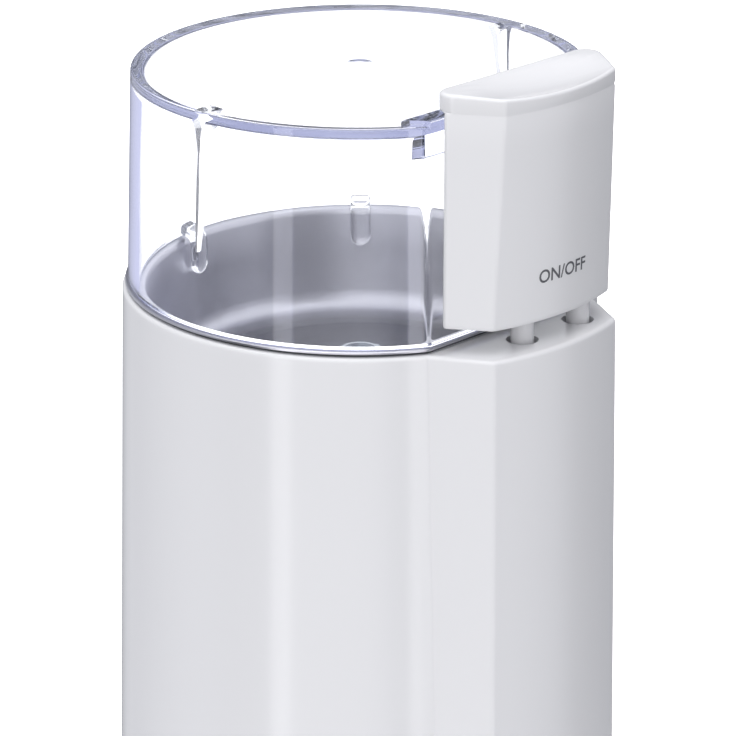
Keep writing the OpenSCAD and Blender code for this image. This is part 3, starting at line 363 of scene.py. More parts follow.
foot_r, foot_top, foot_ring_r, foot_angles = 5.0, 4.0, 32, (28, 152, 208, 332)
bush_r, bush_bore_r, bush_flange_r = 5.0, 3.3, 7.0
bush_out_y, bush_flange_y, bush_in_y, bush_edge = 46.03, 42.9, 41.3, 0.2
haze_mm = 4


def dress(material, *nodes):
    """Gives CAD nodes a material of their own in place of the plain one."""
    for name in nodes:
        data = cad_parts[name].data
        data.materials.clear()
        data.materials.append(material)


def metal(name, colour, roughness, lay_mm, height_mm, stretch=(1, 1, 1), spots=0.0, painted_shade=None,
          **sockets):
    """Bare or plated metal: the tool's marks, lay_mm apart and drawn out by stretch, in the bump and
    the gloss, and darker spots or haze where spots is above 0. Marks are drawn coarser than the real
    ones so that they show. With painted_shade = (z0, z1, share), painted shade darkens the tone
    smoothly from full at height z1 to that share at z0 and below."""
    made, tree = blank_material(name)
    where = add(tree, "ShaderNodeTexCoord").outputs["Object"]
    drawn = add(tree, "ShaderNodeMapping", {"Vector": where, "Scale": stretch}).outputs[0]
    marks = add(tree, "ShaderNodeTexNoise", {"Vector": drawn, "Scale": 1000 / lay_mm, "Detail": 4.0})
    haze = add(tree, "ShaderNodeTexNoise", {"Vector": where, "Scale": 1000 / haze_mm, "Detail": 3.0})
    full = linear(colour)
    dull = tuple(c * (1 - spots) for c in full[:3]) + (1.0,)
    tone = add(tree, "ShaderNodeMixRGB", {"Fac": haze.outputs[0], "Color1": dull, "Color2": full})
    # Painted shade: below height z1 the tone is darkened to stand in for shade.
    if painted_shade:
        low, high, share = painted_shade
        height = add(tree, "ShaderNodeSeparateXYZ", {0: where}).outputs["Z"]
        kept = add(tree, "ShaderNodeMapRange", {
            "Value": height, "From Min": low / 1000, "From Max": high / 1000, "To Min": share},
            interpolation_type="SMOOTHSTEP")
        tone = add(tree, "ShaderNodeVectorMath", {0: tone.outputs[0], "Scale": kept.outputs[0]},
                   operation="SCALE")
    gloss = add(tree, "ShaderNodeMapRange", {
        "Value": marks.outputs[0], "To Min": roughness * 0.75, "To Max": roughness * 1.3})
    bump = add(tree, "ShaderNodeBump", {
        "Height": marks.outputs[0], "Distance": height_mm / 1000, "Strength": 1.0})
    shader = add(tree, "ShaderNodeBsdfPrincipled", {
        "Base Color": tone.outputs[0], "Metallic": 1.0, "Roughness": gloss.outputs[0],
        "Normal": bump.outputs[0], **sockets})
    add(tree, "ShaderNodeOutputMaterial", {"Surface": shader.outputs[0]})
    return made


# Polypropylene from a spark-eroded tool: off-white and waxy, dull beside the ABS.
base_pp = moulded("off-white moulded polypropylene", "#E4E3DE", 0.5, 1.49, 0.35, 0.006)
# Soft grey rubber, matt and slightly dusty.
rubber_grey = moulded("soft grey rubber", "#55575A", 0.75, 1.52, 0.3, 0.01, tint=0.12)
# Bright zinc on steel fasteners: cool and hazy, with the faint lay of rolling.
zinc_steel = metal("bright zinc on steel", "#C9CDD2", 0.32, 0.3, 0.002, spots=0.12)
# Black PVC-like plastic: deep black with an even, low gloss.
black_plastic = moulded("black moulded plastic", "#161719", 0.42, 1.5, 0.3, 0.004, tint=0.1)

dress(base_pp, "base_plate")
dress(zinc_steel, "base_screws")

foot_profile = [
    (foot_r - 1.4, 0.35), (foot_r - 1.2, 0.05), (foot_r - 0.9, 0.0), (foot_r - 0.5, 0.06),
    (foot_r - 0.15, 0.3), (foot_r, 0.8), (foot_r, foot_top - 0.4), (foot_r - 0.3, foot_top)]
feet = [skin(lathe(foot_profile, at)) for at in ringed(foot_angles, foot_ring_r)]
feet = piece("rubber_feet_turned", "housing", rubber_grey, *feet)
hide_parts("rubber_feet")

bush_profile = [
    (bush_bore_r + bush_edge, bush_out_y), (bush_r - 0.3, bush_out_y), (bush_r, bush_out_y - 0.23),
    (bush_r, bush_flange_y), (bush_flange_r, bush_flange_y), (bush_flange_r, bush_in_y),
    (bush_bore_r + bush_edge, bush_in_y), (bush_bore_r, bush_in_y + bush_edge),
    (bush_bore_r, bush_out_y - 0.23)]
bush = piece("cord_inlet_bush_ring", "housing", black_plastic,
             skin(level_lathe(bush_profile, inlet_z), loop=True))
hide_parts("cord_inlet_bush")


# ---- Motor: carrier, rubber mounts, brackets, field and brushes --------------
# A universal motor hangs under a nylon carrier on two rubber mounts. Pressed
# steel brackets hold its bushes, and two through bolts clamp them on the stack.

# Glass-free nylon: natural, a little translucent and yellowish.
inner_nylon = moulded("natural moulded nylon", "#DEDCD0", 0.45, 1.53, 0.4, 0.004, tint=0.06)
# Varnished electrical steel: dark grey-blue with the edges of its sheets.
lamination_steel = metal("varnished electrical steel", "#70747B", 0.45, 0.5, 0.03, (0.02, 0.02, 1), 0.25)
# Sintered bronze: warm, fine-pored and oily.
bronze = metal("sintered bronze", "#B08A55", 0.42, 0.2, 0.006, spots=0.3)
# Ivory-coloured polyester on the coil formers.
ivory_plastic = moulded("ivory moulded polyester", "#DDD3B4", 0.5, 1.52, 0.3, 0.005, tint=0.05)
# Enamelled magnet wire, wound in rows a wire apart, under a clear glossy coat.
copper_wire = metal("enamelled copper wire", "#B4612F", 0.28, 0.5, 0.12, (0.05, 0.05, 1), 0.3,
                    **{"Coat Weight": 0.6, "Coat Roughness": 0.15})
# Phenolic board: dark brown, with a dull paper grain.
phenolic_brown = moulded("phenolic laminate", "#5A3A22", 0.55, 1.58, 0.6, 0.008, tint=0.25)
# Pressed carbon: near black with a faint grey sheen.
carbon = moulded("pressed carbon", "#232426", 0.6, 1.6, 0.25, 0.01, tint=0.3)
# Music wire, straightened and bright.
spring_steel = metal("bright spring steel", "#A9ADB3", 0.25, 0.25, 0.002, spots=0.1)

dress(inner_nylon, "motor_carrier", "button_guide")
dress(zinc_steel, "carrier_screws", "mount_screws", "upper_bracket", "lower_bracket", "through_bolts",
      "guide_screws")
dress(rubber_grey, "rubber_mounts")
dress(bronze, "upper_bush", "lower_bush")
dress(lamination_steel, "stator_stack", "armature_core")
dress(ivory_plastic, "coil_bobbins", "thrust_washers", "terminal_block")
dress(copper_wire, "field_coils", "armature_windings")
dress(phenolic_brown, "brush_holders")
dress(carbon, "carbon_brushes")
dress(spring_steel, "brush_springs", "leg_retainers")


# ---- Rotor: shaft and commutator ---------------------------------------------
# The ground shaft carries the armature and the moulded commutator, and comes up
# through the bowl to drive the blade.

# Ground carbon steel: bright, with fine rings round it.
shaft_steel = metal("ground shaft steel", "#B9BDC3", 0.2, 0.15, 0.001, spots=0.08)
# Turned copper segments, browned where the brushes run.
commutator_copper = metal("turned commutator copper", "#A9643B", 0.3, 0.3, 0.004, (0.05, 0.05, 1), 0.35)
dress(shaft_steel, "shaft")
dress(commutator_copper, "commutator")


# ---- Switch, lever, terminals and capacitor ----------------------------------
# A boxed snap switch with a pressed lever stands in the bay below the button's
# legs. A terminal block and a suppression capacitor take the mains lead.

# Tinned brass tabs: pale and yellowish, with a hazy shine.
brass_tab = metal("tinned brass", "#C8B98A", 0.3, 0.3, 0.003, spots=0.15)
# Polycarbonate plunger, the usual signal red, smooth and glossy.
red_plastic = moulded("red moulded plastic", "#B3261E", 0.35, 1.58, 0.3, 0.002)
# Yellow box film capacitor: an epoxy-filled polyester case with an even gloss.
capacitor_yellow = moulded("yellow capacitor case", "#D9A92E", 0.35, 1.55, 0.3, 0.002)
dress(black_plastic, "switch_body")
dress(brass_tab, "switch_terminals")
dress(zinc_steel, "switch_screws", "switch_lever")
dress(red_plastic, "switch_plunger")
dress(capacitor_yellow, "suppression_capacitor")


# ---- Grinding bowl, seal and collar ------------------------------------------
# The bowl is deep-drawn stainless steel with a flat side under the button. Its
# flange lies on a rubber seal on the deck, and a nylon collar clamps its floor.

bowl_r, bowl_chord, bowl_depth, bowl_floor_r = 39.2, 33.2, 20.5, 31.0
flange_r, flange_chord, sheet = 43.2, 37.6, 0.6
rim_z, shaft_hole_r = 133.1, 6.6
inner_corner, outer_corner = 1.2, 1.4
floor_z = rim_z - bowl_depth
collar_top, collar_flange_z, collar_seat_z, collar_foot = 114.0, 112.6, 111.0, 103.6
collar_flange_r, collar_r, collar_seat_r, collar_bore_r, collar_edge = 9.0, 6.5, 5.0, 3.6, 0.2

# Deep-drawn stainless steel, brushed round the bowl: grey with a violet cast and
# soft streaks that follow the wall. Its floor is painted much darker than the wall:
# painted shade, standing in for the dim light down in the bowl.
bowl_steel = metal("brushed stainless steel", "#D2D2DA", 0.34, 0.35, 0.004, (0.3, 0.3, 4), 0.1,
                   (floor_z + 0.4, floor_z + 1.4, 0.3),
                   **{"Anisotropic": 0.85, "Anisotropic Rotation": 0.25})

# (radius, flat side's distance, depth below the rim) over the flange, down the
# wall, round the step above the floor and in to the shaft's hole.
bowl_inside = [
    (flange_r - 0.15, flange_chord - 0.15, 0.05), (flange_r - 0.4, flange_chord - 0.4, 0.0),
    (bowl_r + 1.6, bowl_chord + 1.6, 0.0), (bowl_r + 0.9, bowl_chord + 0.9, 0.03),
    (bowl_r + 0.35, bowl_chord + 0.35, 0.25), (bowl_r + 0.05, bowl_chord + 0.05, 0.7),
    (bowl_r - 0.1, bowl_chord, 1.4), (bowl_r - 0.6, bowl_chord, 8.2), (bowl_r - 1.3, bowl_chord, 16.0),
    (bowl_r - 1.6, bowl_chord, 17.2), (bowl_r - 2.1, bowl_chord, 18.25),
    (bowl_r - 2.7, bowl_chord, 18.85), (bowl_r - 3.4, bowl_chord - 0.1, 19.27),
    (bowl_r - 4.6, bowl_chord - 0.5, 19.6), (bowl_floor_r + 1.2, bowl_chord, bowl_depth - 0.7),
    (bowl_floor_r + 0.5, bowl_chord, bowl_depth - 0.45), (bowl_floor_r - 0.2, bowl_chord, bowl_depth - 0.1),
    (bowl_floor_r - 0.8, bowl_chord, bowl_depth), (22, bowl_chord, bowl_depth),
    (14, bowl_chord, bowl_depth), (shaft_hole_r, bowl_chord, bowl_depth)]
# The same way back under the floor and up the outside.
bowl_outside = [
    (shaft_hole_r, bowl_chord, bowl_depth + sheet), (bowl_floor_r - 0.8, bowl_chord, bowl_depth + sheet),
    (bowl_floor_r + 0.8, bowl_chord, bowl_depth - 0.2 + sheet),
    (bowl_r - 2.8, bowl_chord + 0.3, bowl_depth - 1.2 + sheet),
    (bowl_r - 1.3, bowl_chord + sheet, 18.0), (bowl_r - 0.6 + sheet, bowl_chord + sheet, 8.2),
    (bowl_r + sheet, bowl_chord + sheet, 1.5), (bowl_r + sheet + 0.3, bowl_chord + sheet + 0.3, sheet),
    (flange_r - 0.3, flange_chord - 0.3, sheet), (flange_r, flange_chord, sheet - 0.15),
    (flange_r, flange_chord, 0.2)]
bowl_rows = [level(d_outline(r, chord, inner_corner), rim_z - drop) for r, chord, drop in bowl_inside]
bowl_rows += [level(d_outline(r, chord, outer_corner), rim_z - drop) for r, chord, drop in bowl_outside]
bowl = piece("grinding_bowl_drawn", "housing", bowl_steel, skin(np.stack(bowl_rows), loop=True))
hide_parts("grinding_bowl")

dress(rubber_grey, "bowl_seal", "shaft_seal")

collar_profile = [
    (collar_seat_r, collar_top - collar_edge), (collar_seat_r + collar_edge, collar_top),
    (collar_flange_r - 0.6, collar_top), (collar_flange_r - 0.2, collar_top - 0.15),
    (collar_flange_r, collar_top - 0.5), (collar_flange_r, collar_flange_z), (collar_r, collar_flange_z),
    (collar_r, collar_foot + collar_edge), (collar_r - collar_edge, collar_foot),
    (collar_bore_r + collar_edge, collar_foot), (collar_bore_r, collar_foot + collar_edge),
    (collar_bore_r, collar_seat_z), (collar_seat_r, collar_seat_z)]
collar = piece("bowl_collar_turned", "housing", inner_nylon,
               skin(lathe(collar_profile, steps=64), loop=True))
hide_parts("bowl_collar")


# ---- Blade, its hub and its nut ----------------------------------------------
# A two-winged stainless blade lies flat above the bowl's floor on a thin black hub,
# and a low lock nut holds it.

# Ground stainless steel: bright, with fine straight marks along the wings.
blade_steel = metal("ground blade steel", "#C6C8CE", 0.22, 0.2, 0.003, (1, 0.08, 1), 0.05)
dress(black_plastic, "blade_hub")
dress(blade_steel, "blade")
dress(zinc_steel, "blade_nut")


# ---- Lid ---------------------------------------------------------------------
# One clear SAN moulding, D-shaped to clear the button: a tapered wall, a flat top
# with the gate's dimple, a rail along the flat side, two ribs and three tongues.

lid_z, lid_top, plate_z = 133.2, 173.0, 171.0
lid_foot_r, lid_top_r, lid_chord, lid_t = 42.7, 41.5, 36.0, 2.0
lid_edge, brim_corner, lid_corner, corner_x = 0.6, 0.9, 2.0, 21.0
ripple_mm, ripple_h = 16.67, 0.06


def lid_line(inset, z):
    """Plan of the lid at height z, drawn in by inset. The flat side leans out towards the foot with
    the round one, so that its two corners stay upright."""
    r = lid_foot_r + (lid_top_r - lid_foot_r) * (z - lid_z) / (lid_top - lid_edge - lid_z)
    chord = lid_chord + math.sqrt(r ** 2 - corner_x ** 2) - math.sqrt(lid_top_r ** 2 - corner_x ** 2)
    return level(d_outline(r - inset, chord - inset, max(lid_corner - inset, 0.4)), z)


def lid_ring(k, z):
    """The lid's plan at its top, scaled about the axis by k."""
    return level(d_outline(lid_top_r * k, lid_chord * k, lid_corner * k), z)


def lid_brim(turn, extra=0.0):
    """The lid's plan on its upper edge, a quarter circle of radius lid_edge: turn is 90 degrees
    where it meets the top and 0 where it meets the wall. It is drawn in further by extra."""
    inset = lid_edge * (1 - math.cos(turn)) + extra
    plan = d_outline(lid_top_r - inset, lid_chord - inset, brim_corner)
    return level(plan, lid_top - lid_edge * (1 - math.sin(turn)))


# From the gate's dimple out over the top, down the outside, under the foot, up
# the inside and in under the top plate.
gate = [(0.5, 0.1), (1.2, 0.1), (1.8, 0.085), (2.3, 0.05), (2.7, 0.015), (3.0, 0.0), (3.6, 0.0)]
lid_rows = [level(d_outline(r, lid_chord, 1), lid_top - drop) for r, drop in gate]
lid_rows += [lid_ring(k, lid_top) for k in (0.2, 0.4, 0.65, 0.85, 0.93)]
lid_rows += [lid_brim(math.pi / 2, 0.6)]
lid_rows += [lid_brim(turn) for turn in np.radians(np.linspace(90, 6, 8))]
lid_rows += [lid_line(0, z) for z in (
    lid_top - lid_edge - 0.5, 165, 155, 145, 137, lid_z + 0.8, lid_z + 0.3)]
lid_rows += [lid_line(0.25, lid_z), lid_line(lid_t - 0.25, lid_z)]
lid_rows += [lid_line(lid_t, z) for z in (
    lid_z + 0.3, lid_z + 0.8, 137, 145, 155, 165, plate_z - 1.3, plate_z - 0.7)]
lid_rows += [lid_line(lid_t + 0.18, plate_z - 0.2), lid_line(lid_t + 0.6, plate_z)]
lid_rows += [lid_line(lid_t + 1.4, plate_z)]
lid_rows += [lid_ring(k, plate_z) for k in (0.8, 0.6, 0.4, 0.2, 0.05)]

# Clear SAN: glass-clear to look through, and faintly blue-grey where the eye looks
# along the wall. The polished tool leaves it glossy, with barely a ripple.
clear_san, tree = blank_material("clear moulded SAN")
where = add(tree, "ShaderNodeTexCoord").outputs["Object"]
ripple = add(tree, "ShaderNodeTexNoise", {"Vector": where, "Scale": 1000 / ripple_mm, "Detail": 1.0})
bump = add(tree, "ShaderNodeBump", {
    "Height": ripple.outputs[0], "Distance": ripple_h / 1000, "Strength": 1.0})
shader = add(tree, "ShaderNodeBsdfPrincipled", {
    "Base Color": linear("#FFFFFF"), "Roughness": 0.015, "IOR": 1.57, "Transmission Weight": 1.0,
    "Normal": bump.outputs[0]})
tinted = add(tree, "ShaderNodeVolumeAbsorption", {"Color": linear("#95A4C5"), "Density": 4.0})
add(tree, "ShaderNodeOutputMaterial", {"Surface": shader.outputs[0], "Volume": tinted.outputs[0]})


def prism(outline, starts, ends, place):
    """Closed bar: each point (p, q) of the outline is drawn from starts(p, q) to ends(p, q), and
    place turns (p, q, length) into the piece's own x, y, z."""
    p, q = np.array(outline, float).T
    a, b = starts(p, q), ends(p, q)
    rows = [place(p, q, a * (1 - k) + b * k) for k in (0.0, 0.5, 1.0)]
    return skin(np.stack([np.column_stack(row) for row in rows]))


lid = piece("lid_shell", "lid", clear_san, skin(np.stack(lid_rows)))

# The rail, as (y, height), runs from side to side as far as a circle of rail_r.
rail_r, rail_face, rail_back, rail_foot, rail_head = 41.0, lid_chord + 0.02, 33.2, 167.0, 174.4
rail_shape = [
    (-rail_face, rail_foot), (-rail_back - 0.1, rail_foot), (-rail_back, rail_foot + 0.1),
    (-rail_back, rail_head - 0.2), (-rail_back - 0.2, rail_head), (-rail_face + 0.42, rail_head - 0.4),
    (-rail_face, rail_head - 0.7)]
rail = piece("lid_rail", None, clear_san, prism(
    rail_shape, lambda y, z: -np.sqrt(rail_r ** 2 - y ** 2), lambda y, z: np.sqrt(rail_r ** 2 - y ** 2),
    lambda y, z, x: (x, y, z)), sharp=20)

# Each rib, as (y, height), runs out to rib_wall inside the lid's wall.
rib_foot, rib_head, rib_wall, rib_near, rib_slant = 147.0, 171.3, 40.6, 36.0, 3.6
rib_side = [(0.15, rib_foot), (0.3, rib_foot + 0.3), (0.5, 165.0), (0.8, 169.2), (1.7, rib_head)]
rib_shape = [(-y, z) for y, z in rib_side[::-1]] + rib_side


def rib_edge(y, z):
    """Distance of a rib's free edge from the axis: rib_near under the top, out by rib_slant to the
    wall at its foot."""
    return rib_near + rib_slant * (rib_head - z) / (rib_head - rib_foot)


ribs = [piece("lid_rib", None, clear_san, prism(
    rib_shape, rib_edge, lambda y, z: rib_wall + 0 * y,
    lambda y, z, x, s=s: (s * x, s * y, z)), sharp=20) for s in (1, -1)]

tongue_r, tongue_w, tongue_t, tongue_tip = 37.45, 4.0, 1.9, 126.1
bend_z, bend_r, tongue_root_r, tongue_root_z = 132.0, 2.0, 41.1, 134.7
tongue_angles = (-12, 44, 100)


def tongue(angle):
    """One tongue, turned to its angle: a flat oval section carried up from a round tip, then out on
    an arc of radius bend_r and into the wall. The section is a superellipse of power 4."""
    z = tongue_tip + (bend_z - tongue_tip) * np.array([0.004, 0.02, 0.05, 0.1, 0.17, 0.25, 0.4, 0.6, 0.8])
    turn = np.radians([0, 12, 24, 36, 48, 60, 70])
    r = np.concatenate([0 * z + tongue_r, tongue_r + bend_r * (1 - np.cos(turn)), [tongue_root_r]])
    up = np.concatenate([z, bend_z + bend_r * np.sin(turn), [tongue_root_z]])
    lean = np.concatenate([0 * z, turn, turn[-1:]])[:, None]
    below = np.clip((tongue_tip + tongue_w / 2 - up) / (tongue_w / 2), 0, 1)
    round_off = np.sqrt(1 - below ** 2)[:, None]
    a = full_turn(28)
    side = tongue_w / 2 * round_off * np.sign(np.cos(a)) * np.abs(np.cos(a)) ** 0.5
    depth = tongue_t / 2 * round_off ** 0.5 * np.sign(np.sin(a)) * np.abs(np.sin(a)) ** 0.5
    out, high = r[:, None] + depth * np.cos(lean), up[:, None] - depth * np.sin(lean)
    c, s = math.cos(math.radians(angle)), math.sin(math.radians(angle))
    rows = np.stack([out * c - side * s, out * s + side * c, high], -1)
    return piece("lid_tongue", None, clear_san, skin(rows))


combine(lid, [rail, *ribs, *[tongue(angle) for angle in tongue_angles]], "UNION")
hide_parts("lid")


# ---- Button ------------------------------------------------------------------
# A tall hollow button in the housing's ABS carries on the bay's shape above the
# deck. A lip at its top reaches over to the lid, and two legs work the switch.

button_z, button_top = 137.0, 179.4
button_r, button_lean = 50.7, 1.2
wall_chord, wall_half_w, tip_half_w, lip_chord = 39.0, 20.6, 14.3, 36.4
button_t, button_corner, wall_corner, lip_corner, lip_h = 2.2, 1.6, 0.8, 3.0, 3.4
dish_y, dish_floor, dish_r, dish_sweep = -45.0, 177.9, 22.62, 105.0
top_edge, shoulder, hem_edge = 0.7, 1.2, 0.12
leg_end, leg_r, leg_boss_r, leg_boss_z, leg_head_z = 109.5, 2.1, 3.4, 141.0, 176.5
flank_root = np.array([wall_half_w, -wall_chord])
flank_tip = np.array([tip_half_w, -math.sqrt(button_r ** 2 - tip_half_w ** 2)])
flank_way = (flank_tip - flank_root) / np.linalg.norm(flank_tip - flank_root)


def face_r(z):
    """Radius of the outer face, which leans out towards the top."""
    return button_r - button_lean * (button_top - z) / (button_top - button_z)


def button_outline(z, inset, chord, near_corner):
    """Plan of the button at height z, drawn in by inset: its outer arc, the corner, the flank, the
    corner at the flat side and half of that side, then the same mirrored."""
    corner = max(button_corner - inset, 0.4)
    c = touching(flank_root, flank_way, inset, face_r(z) - inset, corner)
    at_c, flank = math.atan2(c[1], c[0]), math.atan2(flank_way[0], -flank_way[1])
    near_corner = max(near_corner - inset, 0.3)
    p = flank_root + (inset + near_corner) * np.array([flank_way[1], -flank_way[0]])
    p = p + flank_way * ((-chord - inset - near_corner) - p[1]) / flank_way[1]
    front = arc((0, 0), face_r(z) - inset, -math.pi / 2, at_c, 14)
    bend = arc(c, corner, at_c, flank, 10)
    near = arc(p, near_corner, flank, math.pi / 2, 10)
    t = np.array([[0.05], [0.5], [0.95]])
    side = bend[-1] * (1 - t) + near[0] * t
    s = np.array([[0.06], [0.5], [1.0]])
    flat = near[-1] * (1 - s) + np.array([0, near[-1][1]]) * s
    return both_sides(np.vstack([front[:-1], bend, side, near, flat]))


def dished(outline, z):
    """An outline near the button's top, lowered by the depth of the finger dish there: an arc of
    radius dish_r across the button, swept along it on an arc of radius dish_sweep."""
    x, y = outline.T
    reach = dish_sweep - dish_r + np.sqrt(np.maximum(dish_r ** 2 - (y - dish_y) ** 2, 0))
    floor = dish_floor + dish_sweep - np.sqrt(reach ** 2 - x ** 2)
    return np.column_stack([outline, z - np.maximum(button_top - floor, 0)])


def lip_line(z, inset):
    """Plan of the button where its lip is."""
    return button_outline(z, inset, lip_chord, lip_corner)


def wall_line(z, inset):
    """Plan of the button below its lip."""
    return button_outline(z, inset, wall_chord, wall_corner)


# From the middle of the dish out over the rounded edge, down the lip and the
# outside, round the open foot and up the inside to the underside of the top.
dish_centre = np.array([0.0, -43.5])
rim_line = lip_line(button_top, top_edge)
lip_z, ceiling_z = button_top - lip_h, dish_floor - button_t
button_rows = [dished(dish_centre + (rim_line - dish_centre) * k, button_top)
               for k in (0.1, 0.25, 0.4, 0.55, 0.7, 0.82, 0.91, 0.97)]
for a in np.radians(np.linspace(90, 0, 6)):
    inset = top_edge * (1 - math.cos(a))
    button_rows.append(dished(lip_line(button_top, inset), button_top - top_edge * (1 - math.sin(a))))
button_rows.append(dished(lip_line(button_top - shoulder, 0), button_top - shoulder))
button_rows += [level(lip_line(z, inset), z) for z, inset in ((lip_z + 0.6, 0), (lip_z + 0.15, hem_edge))]
button_rows += [level(wall_line(z, inset), z) for z, inset in (
    (lip_z, hem_edge), (lip_z - 0.4, 0), (170, 0), (160, 0), (150, 0), (button_z + 0.9, 0),
    (button_z + 0.35, 0), (button_z + 0.1, hem_edge), (button_z, 0.4), (button_z, button_t - 0.3),
    (button_z + 0.3, button_t), (150, button_t), (165, button_t), (ceiling_z - 0.5, button_t),
    (ceiling_z, button_t + 0.4))]
button_skins = [skin(np.stack(button_rows))]

leg_profile = [(leg_boss_r, leg_head_z), (leg_boss_r, leg_boss_z + 0.4), (leg_boss_r - 0.4, leg_boss_z),
               (leg_r, leg_boss_z)]
leg_profile += [(leg_r * math.sin(a), leg_end - leg_r * math.cos(a))
                for a in np.radians(np.linspace(90, 8, 8))]
button_skins += [skin(lathe(leg_profile, at, 40)) for at in legs]
button = piece("button_shell", "button", white_abs, *button_skins)
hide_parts("button")

# Generic switch wording, pad-printed in dark grey on the outer face: each letter's
# flat outline is bent round the face and stands print_depth proud of it.
print_text = "ON/OFF"
cap_height, print_z, print_depth, stroke_gain = 2.45, 145.2, 0.03, 0.012
# Two-part ink: dark grey, a little duller than the button.
print_ink = moulded("dark grey pad-printing ink", "#66676C", 0.45, 1.5, 0.2, 0.002, tint=0.1)
words = bpy.data.curves.new("on_off_words", "FONT")
words.body, words.align_x, words.align_y = print_text, "CENTER", "CENTER"
words.size, words.resolution_u, words.offset = 1.0, 4, stroke_gain
holder = placed("on_off_words", words)
bpy.context.view_layer.update()
letters = bpy.data.meshes.new_from_object(holder.evaluated_get(bpy.context.evaluated_depsgraph_get()))
bpy.data.objects.remove(holder)
drawn = np.zeros(3 * len(letters.vertices), np.float32)
letters.vertices.foreach_get("co", drawn)
drawn = drawn.reshape(-1, 3).astype(float)
drawn *= cap_height / np.ptp(drawn[:, 1])
across, up = drawn[:, 0], print_z + drawn[:, 1]
ink_r = face_r(up) + print_depth
inked = np.stack([ink_r * np.sin(across / ink_r), axis_y - ink_r * np.cos(across / ink_r), up], -1)
letters.vertices.foreach_set("co", (inked / 1000).ravel())
letters.materials.append(print_ink)
on_off = placed("on_off_print", letters)
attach(on_off, "button")


# ---- Return springs ----------------------------------------------------------
# Two compression springs of bright steel wire stand round the legs on the guide.
# The rings on the legs press them shorter when the button goes down.

spring_seat, spring_foot, spring_head, button_travel = 113.3, 113.35, 127.65, 4.0
spring_r, wire_r, spring_turns = 2.75, 0.3, 6


def coil(at):
    """A round wire carried up a helix about the axis at: each ring of the wire stands upright, at
    spring_r from that axis, and climbs evenly from the seat to the head."""
    turn = np.linspace(0, 2 * math.pi * spring_turns, spring_turns * 24 + 1)[:, None]
    around = full_turn(12)
    r = spring_r + wire_r * np.cos(around)
    climb = spring_foot + wire_r + (spring_head - spring_foot - 2 * wire_r) * turn / turn[-1]
    return skin(np.stack([
        at[0] + r * np.cos(turn), at[1] + r * np.sin(turn), climb + wire_r * np.sin(around)], -1))


springs = piece("return_springs_wound", "housing", spring_steel, *[coil(at) for at in legs])
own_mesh(springs)
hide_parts("return_springs")


# ---- Floor, studio light and camera ------------------------------------------
# A disc of pale matt paper fades out into a white room. Four broad upright lights
# and a softer one overhead shape the body, and two narrow ones draw bright bands.

floor_clear, floor_end, floor_r, floor_sides = 70.0, 105.0, 110.0, 96

# Uncoated paper: matt and pale grey, and clear from where the white room takes over.
sweep, tree = blank_material("pale matt sweep")
where = add(tree, "ShaderNodeTexCoord").outputs["Object"]
away = add(tree, "ShaderNodeVectorMath", {0: where}, operation="LENGTH")
fade = add(tree, "ShaderNodeMapRange", {
    "Value": away.outputs["Value"], "From Min": floor_clear / 1000, "From Max": floor_end / 1000},
    interpolation_type="SMOOTHSTEP")
paper = add(tree, "ShaderNodeBsdfDiffuse", {"Color": linear("#E6E6E6")})
clear = add(tree, "ShaderNodeBsdfTransparent")
mixed = add(tree, "ShaderNodeMixShader", {0: fade.outputs[0], 1: paper.outputs[0], 2: clear.outputs[0]})
add(tree, "ShaderNodeOutputMaterial", {"Surface": mixed.outputs[0]})
a = full_turn(floor_sides)
disc = np.stack([np.cos(a), np.sin(a), 0 * a], -1) * floor_r / 1000
mesh = bpy.data.meshes.new("sweep")
mesh.from_pydata(disc.tolist(), [], [list(range(floor_sides))])
mesh.materials.append(sweep)
ground = placed("sweep", mesh)
ground.visible_glossy = False

# Upright lights: the azimuth each shines from, half its width, its soft edge (all
# in degrees) and its level. The last two are the narrow ones. The one overhead
# grows between two heights, each the sine of an elevation.
lights = (
    (-60.0, 25.0, 10.0, 0.97),
    (-162.0, 38.0, 18.0, 0.57),
    (30.0, 15.0, 9.0, 0.65),
    (120.0, 45.0, 20.0, 0.24),
    (-83.6, 4.8, 0.7, 1.8),
    (-18.4, 3.9, 0.7, 2.3),
)
room_level, overhead, overhead_from, overhead_full = 0.04, 1.5, 0.64, 0.87
shadow_tint, light_tint, glow_tint, steel_tint = "#EAEFFF", "#FDFDFF", "#D4D8FF", "#F8FAFF"
backdrop_level, steel_level, glow_share, glow_level = 2.2, 1.5, 0.4, 0.72


def facing(azimuth):
    """Unit vector in plan from which azimuth degrees looks at the object."""
    return (math.sin(math.radians(azimuth)), -math.cos(math.radians(azimuth)), 0.0)


world = bpy.data.worlds.new("studio")
world.use_nodes = True
bpy.context.scene.world = world
tree = world.node_tree
tree.nodes.clear()
heading = add(tree, "ShaderNodeTexCoord").outputs["Generated"]
plan = add(tree, "ShaderNodeVectorMath", {0: heading, 1: (1.0, 1.0, 0.0)}, operation="MULTIPLY")
plan = add(tree, "ShaderNodeVectorMath", {0: plan.outputs[0]}, operation="NORMALIZE").outputs[0]
height = add(tree, "ShaderNodeSeparateXYZ", {0: heading}).outputs["Z"]
above = add(tree, "ShaderNodeMapRange", {
    "Value": height, "From Min": overhead_from, "From Max": overhead_full, "To Max": overhead},
    interpolation_type="SMOOTHSTEP")
total = add(tree, "ShaderNodeMath", {0: room_level, 1: above.outputs[0]}, operation="ADD")
for azimuth, half, soft, brightness in lights:
    near = add(tree, "ShaderNodeVectorMath", {0: plan, 1: facing(azimuth)}, operation="DOT_PRODUCT")
    band = add(tree, "ShaderNodeMapRange", {
        "Value": near.outputs["Value"], "From Min": math.cos(math.radians(half + soft)),
        "From Max": math.cos(math.radians(max(half - soft, 0))), "To Max": brightness},
        interpolation_type="SMOOTHSTEP")
    total = add(tree, "ShaderNodeMath", {0: total.outputs[0], 1: band.outputs[0]}, operation="ADD")
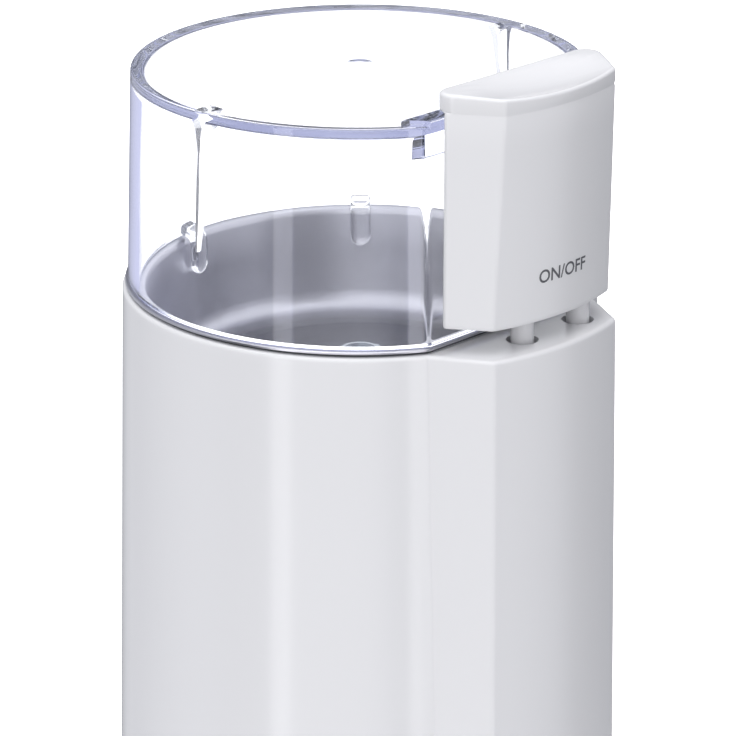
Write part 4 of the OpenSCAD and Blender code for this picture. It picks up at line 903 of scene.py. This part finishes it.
tint = add(tree, "ShaderNodeMixRGB", {
    "Fac": total.outputs[0], "Color1": linear(shadow_tint), "Color2": linear(light_tint)}, use_clamp=True)
room = add(tree, "ShaderNodeBackground", {"Color": tint.outputs[0], "Strength": total.outputs[0]})

# Each ray meets one of four rooms. The eye, and what it sees straight through the
# clear lid, meet a plain white backdrop. A ray mirrored inside the lid's wall, after
# two passes at most through its faces, meets a blue-violet glow. One that came back
# off the steel through the wall meets a plain cool light. All others meet the lights.
white = add(tree, "ShaderNodeBackground", {"Color": linear("#FFFFFF"), "Strength": backdrop_level})
edge_level = add(tree, "ShaderNodeMath", {0: total.outputs[0], 1: glow_share, 2: glow_level},
                 operation="MULTIPLY_ADD")
glow = add(tree, "ShaderNodeBackground", {"Color": linear(glow_tint), "Strength": edge_level.outputs[0]})
steel_light = add(tree, "ShaderNodeBackground", {"Color": linear(steel_tint), "Strength": steel_level})
path = add(tree, "ShaderNodeLightPath").outputs
undiffused = add(tree, "ShaderNodeMath", {0: path["Diffuse Depth"], 1: 0.5}, operation="LESS_THAN")
through = add(tree, "ShaderNodeMath", {0: path["Is Transmission Ray"], 1: undiffused.outputs[0]},
              operation="MULTIPLY")
seen = add(tree, "ShaderNodeMath", {0: through.outputs[0], 1: path["Is Camera Ray"]}, operation="MAXIMUM")
turned = add(tree, "ShaderNodeMath", {0: path["Glossy Depth"], 1: 0.5}, operation="GREATER_THAN")
crossed = add(tree, "ShaderNodeMath", {0: path["Transmission Depth"], 1: 2.5}, operation="GREATER_THAN")
mirrored = add(tree, "ShaderNodeMixShader", {
    0: crossed.outputs[0], 1: glow.outputs[0], 2: steel_light.outputs[0]})
backdrop = add(tree, "ShaderNodeMixShader", {
    0: turned.outputs[0], 1: white.outputs[0], 2: mirrored.outputs[0]})
sky = add(tree, "ShaderNodeMixShader", {0: seen.outputs[0], 1: room.outputs[0], 2: backdrop.outputs[0]})
add(tree, "ShaderNodeOutputWorld", {"Surface": sky.outputs[0]})

# The camera looks from the left of the button's face, a little down, at a point
# look_side to the right of the motor axis, with a long lens.
camera_azimuth, camera_elevation, camera_away = math.radians(-46), math.radians(20.25), 750.0
look_z, look_side, focal_length = 114.3, 1.494, 197.4
rightward = Vector((math.cos(camera_azimuth), math.sin(camera_azimuth), 0))
target = Vector((0, axis_y, look_z)) + rightward * look_side
back = Vector((math.sin(camera_azimuth) * math.cos(camera_elevation),
               -math.cos(camera_azimuth) * math.cos(camera_elevation), math.sin(camera_elevation)))
lens = bpy.data.cameras.new("camera")
lens.lens, lens.sensor_width, lens.clip_start, lens.clip_end = focal_length, 36.0, 0.01, 10.0
camera = placed("camera", lens)
camera.location = (target + back * camera_away) / 1000
camera.rotation_euler = (-back).to_track_quat("-Z", "Y").to_euler()
scene = bpy.context.scene
scene.camera = camera

# Light crosses the lid's wall and is mirrored in it many times, so it needs many
# bounces of those two kinds.
lid_bounces, room_bounces = 64, 4
scene.view_settings.view_transform = "Standard"
scene.view_settings.look = "None"
scene.cycles.use_denoising = True
scene.cycles.max_bounces = lid_bounces
scene.cycles.transmission_bounces = lid_bounces
scene.cycles.glossy_bounces = lid_bounces
scene.cycles.diffuse_bounces = room_bounces
